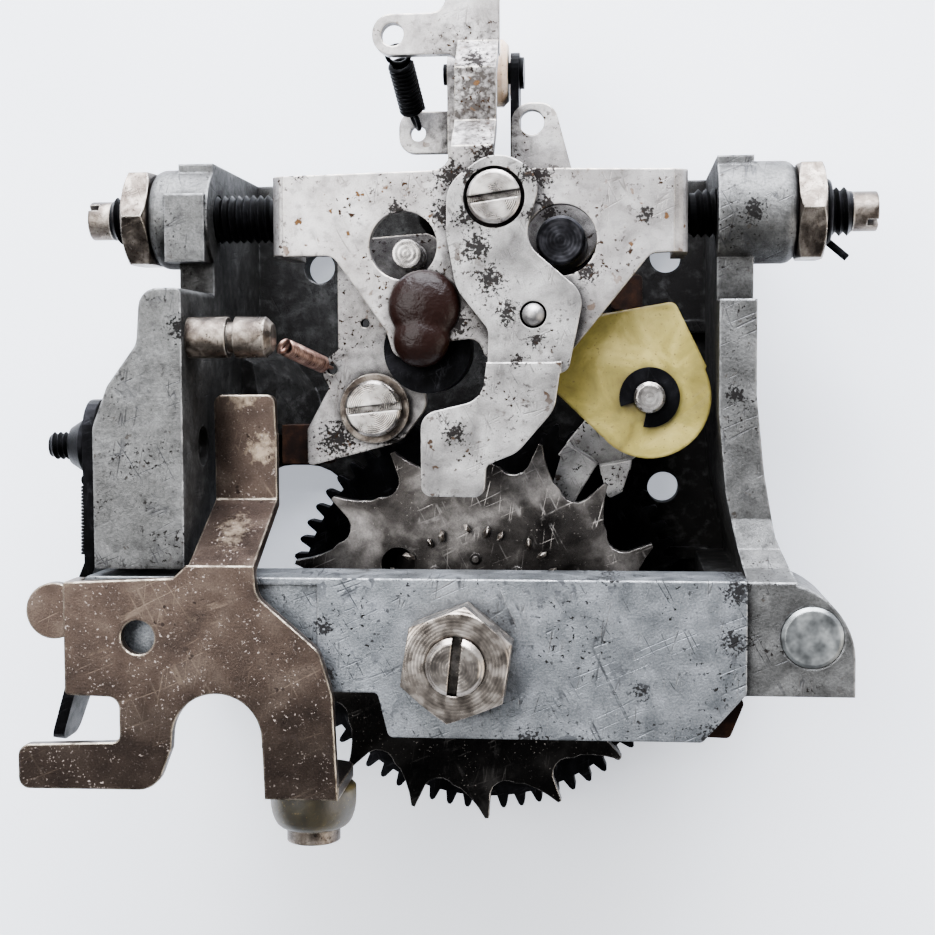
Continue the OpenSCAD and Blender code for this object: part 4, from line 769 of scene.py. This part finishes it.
left_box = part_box("left_pivot_screw")
right_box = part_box("right_pivot_screw")
pivot_screw("left_pivot_screw", left_box[0][0] / MM, left_box[1][0] / MM, 1, 2.4)
pivot_screw("right_pivot_screw", right_box[1][0] / MM, right_box[0][0] / MM, -1, 2.6)


def outer_stud_threaded():
    """Blackened stud of the outer lever, threaded at its free end."""
    low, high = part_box("outer_stud")
    length = high[0] - low[0]
    core = rod(1.2 * MM, 0, 4.0 * MM, 0.15 * MM)
    ridge = thread(1.48 * MM, 1.2 * MM, 0.6 * MM, 0.1 * MM, 3.6 * MM)
    shank = rod(1.5 * MM, 3.6 * MM, length, 0.1 * MM)
    stud = join("outer_stud_threaded", [core, ridge, shank])
    y, z = (low[1] + high[1]) / 2, (low[2] + high[2]) / 2
    place(stud, along((low[0], y, z), (high[0], y, z)))
    smooth(stud, 32)
    finish(stud, BLACKENED_STEEL)
    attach(stud, "frame_body")
    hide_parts("outer_stud")


outer_stud_threaded()

# ---------------------------------------------------------------- springs

coil_spring("arm_spring_coil", (-8.6, 64.1, 19.9), (-7.4, 56.6, 11.2), 1.5, 0.27, "rocker_body",
            BLACKENED_STEEL, "arm_spring")
coil_spring("lever_spring_coil", (-18.9, 31.3, 33.6), (-15.9, 29.0, 22.5), 0.95, 0.2, "frame_body",
            COPPER_WASHED, "lever_spring")
coil_spring("outer_spring_coil", (-41.2, 17.6, 28.4), (-41.4, 7.6, 28.4), 0.8, 0.17, "outer_lever_body",
            BLACKENED_STEEL, "outer_spring")


# ---------------------------------------------------------------- locking lacquer

def lacquer_blob():
    """Thick drops of lacquer run together over the adjusting screw and cut flat on the plate."""
    plate = 30.02
    drops = []
    for x, y, r, h in ((-4.4, 35.3, 3.8, 1.75), (-4.7, 31.9, 3.0, 1.9), (-4.6, 33.6, 2.9, 1.6),
                       (-3.2, 33.0, 1.5, 1.0), (-6.3, 36.2, 1.7, 1.1)):
        clear_selection()
        bpy.ops.mesh.primitive_uv_sphere_add(
            segments=40, ring_count=24, radius=1, location=(x * MM, y * MM, 30.05 * MM))
        drop = bpy.context.object
        drop.scale = (r * MM, r * MM, h * MM)
        settle(drop)
        drops.append(drop)
    blob = join("lacquer_blob", drops)
    remesh = blob.modifiers.new("melt", "REMESH")
    remesh.mode = "VOXEL"
    remesh.voxel_size = 0.16 * MM
    apply_all(blob)
    rounder = blob.modifiers.new("flow", "CORRECTIVE_SMOOTH")
    rounder.use_only_smooth = True
    rounder.iterations = 12
    apply_all(blob)
    bpy.ops.object.mode_set(mode="EDIT")
    bpy.ops.mesh.select_all(action="SELECT")
    bpy.ops.mesh.bisect(plane_co=(0, 0, plate * MM), plane_no=(0, 0, 1), use_fill=True, clear_inner=True)
    bpy.ops.object.mode_set(mode="OBJECT")
    smooth(blob, 70)
    finish(blob, LOCKING_LACQUER)
    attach(blob, "rocker_body")
    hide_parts("lacquer_seal")


lacquer_blob()


def front_height(name):
    """Height of a node's front face."""
    piece = NODES[name]
    return max((piece.matrix_world @ Vector(corner)).z for corner in piece.bound_box)


def stake_ridges():
    """Ring of small raised bites round the hub, where the star wheel was staked on to it."""
    bites = []
    front = front_height("star_wheel")
    count = 30
    for k in range(count):
        turn = math.radians(k * 360 / count + 2.5 * math.sin(k * 2.3))
        reach = (10.9 + 0.25 * math.sin(k * 1.7)) * MM
        clear_selection()
        bpy.ops.mesh.primitive_cone_add(vertices=5, radius1=(0.5 + 0.14 * math.sin(k * 3.1)) * MM,
                                        radius2=0.06 * MM, depth=0.5 * MM)
        bite = bpy.context.object
        bite.scale = (1.5, 0.75, 1.0)
        bite.rotation_euler = (
            0.35 * math.sin(k * 1.3), 0.3 * math.cos(k * 2.1), turn + 0.5 * math.sin(k * 4.1))
        bite.location = (reach * math.cos(turn), reach * math.sin(turn), front + 0.1 * MM)
        settle(bite)
        bites.append(bite)
    ring = join("stake_ridges", bites)
    finish(ring, DULL_PLATED_NUT)
    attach(ring, "wheels_body")


stake_ridges()


# ---------------------------------------------------------------- floor, light and camera

def paper_floor():
    """White sheet of paper under the mechanism, with a faint tooth and a few soft marks."""
    material, tree, shader = new_material("white_paper")
    at = add(tree, "ShaderNodeTexCoord").outputs["Object"]
    soft = add(tree, "ShaderNodeTexNoise", {
        "Vector": at, "Scale": per_metre(60.0), "Detail": 3.0, "Roughness": 0.55}).outputs["Fac"]
    colour = add(tree, "ShaderNodeValToRGB", {"Fac": soft}, stops=[
        (0.3, "#dfe3ea"), (0.7, "#eceef3")]).outputs["Color"]
    marks = add(tree, "ShaderNodeValToRGB", {
        "Fac": add(tree, "ShaderNodeTexNoise", {
            "Vector": at, "Scale": per_metre(2.2), "Detail": 4.0, "Roughness": 0.6}).outputs["Fac"]},
        stops=[(0.66, 0.0), (0.74, 0.1)]).outputs["Color"]
    colour = add(tree, "ShaderNodeMix", {MIX_FACTOR: marks, MIX_A: colour, MIX_B: linear("#b9bcc6")},
        data_type="RGBA").outputs[MIX_RESULT]
    bumped = add(tree, "ShaderNodeBump", {
        "Height": add(tree, "ShaderNodeTexNoise", {
            "Vector": at, "Scale": per_metre(0.5), "Detail": 3.0, "Roughness": 0.55}).outputs["Fac"],
        "Strength": 0.1, "Distance": 0.05 * MM}).outputs[0]
    tree.links.new(colour, shader.inputs["Base Color"])
    tree.links.new(bumped, shader.inputs["Normal"])
    shader.inputs["Roughness"].default_value = 0.9
    shader.inputs["Emission Color"].default_value = linear("#e6edfb")
    shader.inputs["Emission Strength"].default_value = 0.66
    clear_selection()
    bpy.ops.mesh.primitive_plane_add(size=3.0, location=(0, 0, -0.02 * MM))
    paper = bpy.context.object
    paper.name = "paper_sheet"
    settle(paper)
    finish(paper, material)


def area_light(name, at, target, size, power, colour):
    data = bpy.data.lights.new(name, "AREA")
    data.shape = "RECTANGLE"
    data.size, data.size_y = size
    data.energy = power
    data.color = linear(colour)[:3]
    lamp = bpy.data.objects.new(name, data)
    bpy.context.scene.collection.objects.link(lamp)
    lamp.matrix_world = Matrix.Translation(Vector(at)) @ (
        Vector(target) - Vector(at)).to_track_quat("-Z", "Y").to_matrix().to_4x4()


def studio():
    """A large window beyond the arm, a soft ceiling and a dark upper room for the plates to mirror."""
    area_light("window_light", (0.02, 0.50, 0.34), (0, 0.03, 0.02), (0.60, 0.30), 16.0, "#f2f6ff")
    area_light("low_window_light", (0.02, 0.50, 0.10), (0, 0.03, 0.03), (0.70, 0.22), 14.0, "#f6f8ff")
    area_light("ceiling_light", (-0.30, 0.16, 0.50), (0, 0.02, 0.02), (0.40, 0.40), 6.0, "#ffffff")
    area_light("side_fill", (0.50, -0.12, 0.24), (0, 0.02, 0.02), (0.35, 0.35), 2.0, "#fff4e6")
    world = bpy.data.worlds.new("soft_room")
    bpy.context.scene.world = world
    world.use_nodes = True
    tree = world.node_tree
    tree.nodes.clear()
    way = add(tree, "ShaderNodeSeparateXYZ", {0: add(tree, "ShaderNodeTexCoord").outputs["Generated"]})
    tone = add(tree, "ShaderNodeValToRGB", {
        "Fac": add(tree, "ShaderNodeMapRange", {
            "Value": way.outputs["Z"], "From Min": -0.2, "From Max": 1.0}).outputs["Result"]},
        stops=[
            (0.0, "#8c9098"), (0.35, "#b9bdc4"), (0.7, "#d6d9de"), (0.9, "#b4b7bd"),
            (1.0, "#a2a5ab")]).outputs["Color"]
    back = add(tree, "ShaderNodeBackground", {"Color": tone, "Strength": 0.85})
    add(tree, "ShaderNodeOutputWorld", {"Surface": back.outputs[0]})


def camera():
    """Close view from above, leaning a little towards the lower left of the mechanism."""
    data = bpy.data.cameras.new("camera")
    data.lens = 60.06
    data.sensor_width = 36
    data.clip_start = 0.01
    data.clip_end = 10
    eye = bpy.data.objects.new("camera", data)
    bpy.context.scene.collection.objects.link(eye)
    back = Vector((0.094, 0.0626, 0.9936)).normalized()
    right = Vector((0.9956, -0.0039, -0.0939))
    right = (right - back * right.dot(back)).normalized()
    up = back.cross(right)
    turn = Matrix((right, up, back)).transposed().to_4x4()
    eye.matrix_world = Matrix.Translation(Vector((15.35, 28.69, 191.7)) * MM) @ turn
    bpy.context.scene.camera = eye


paper_floor()
studio()
camera()
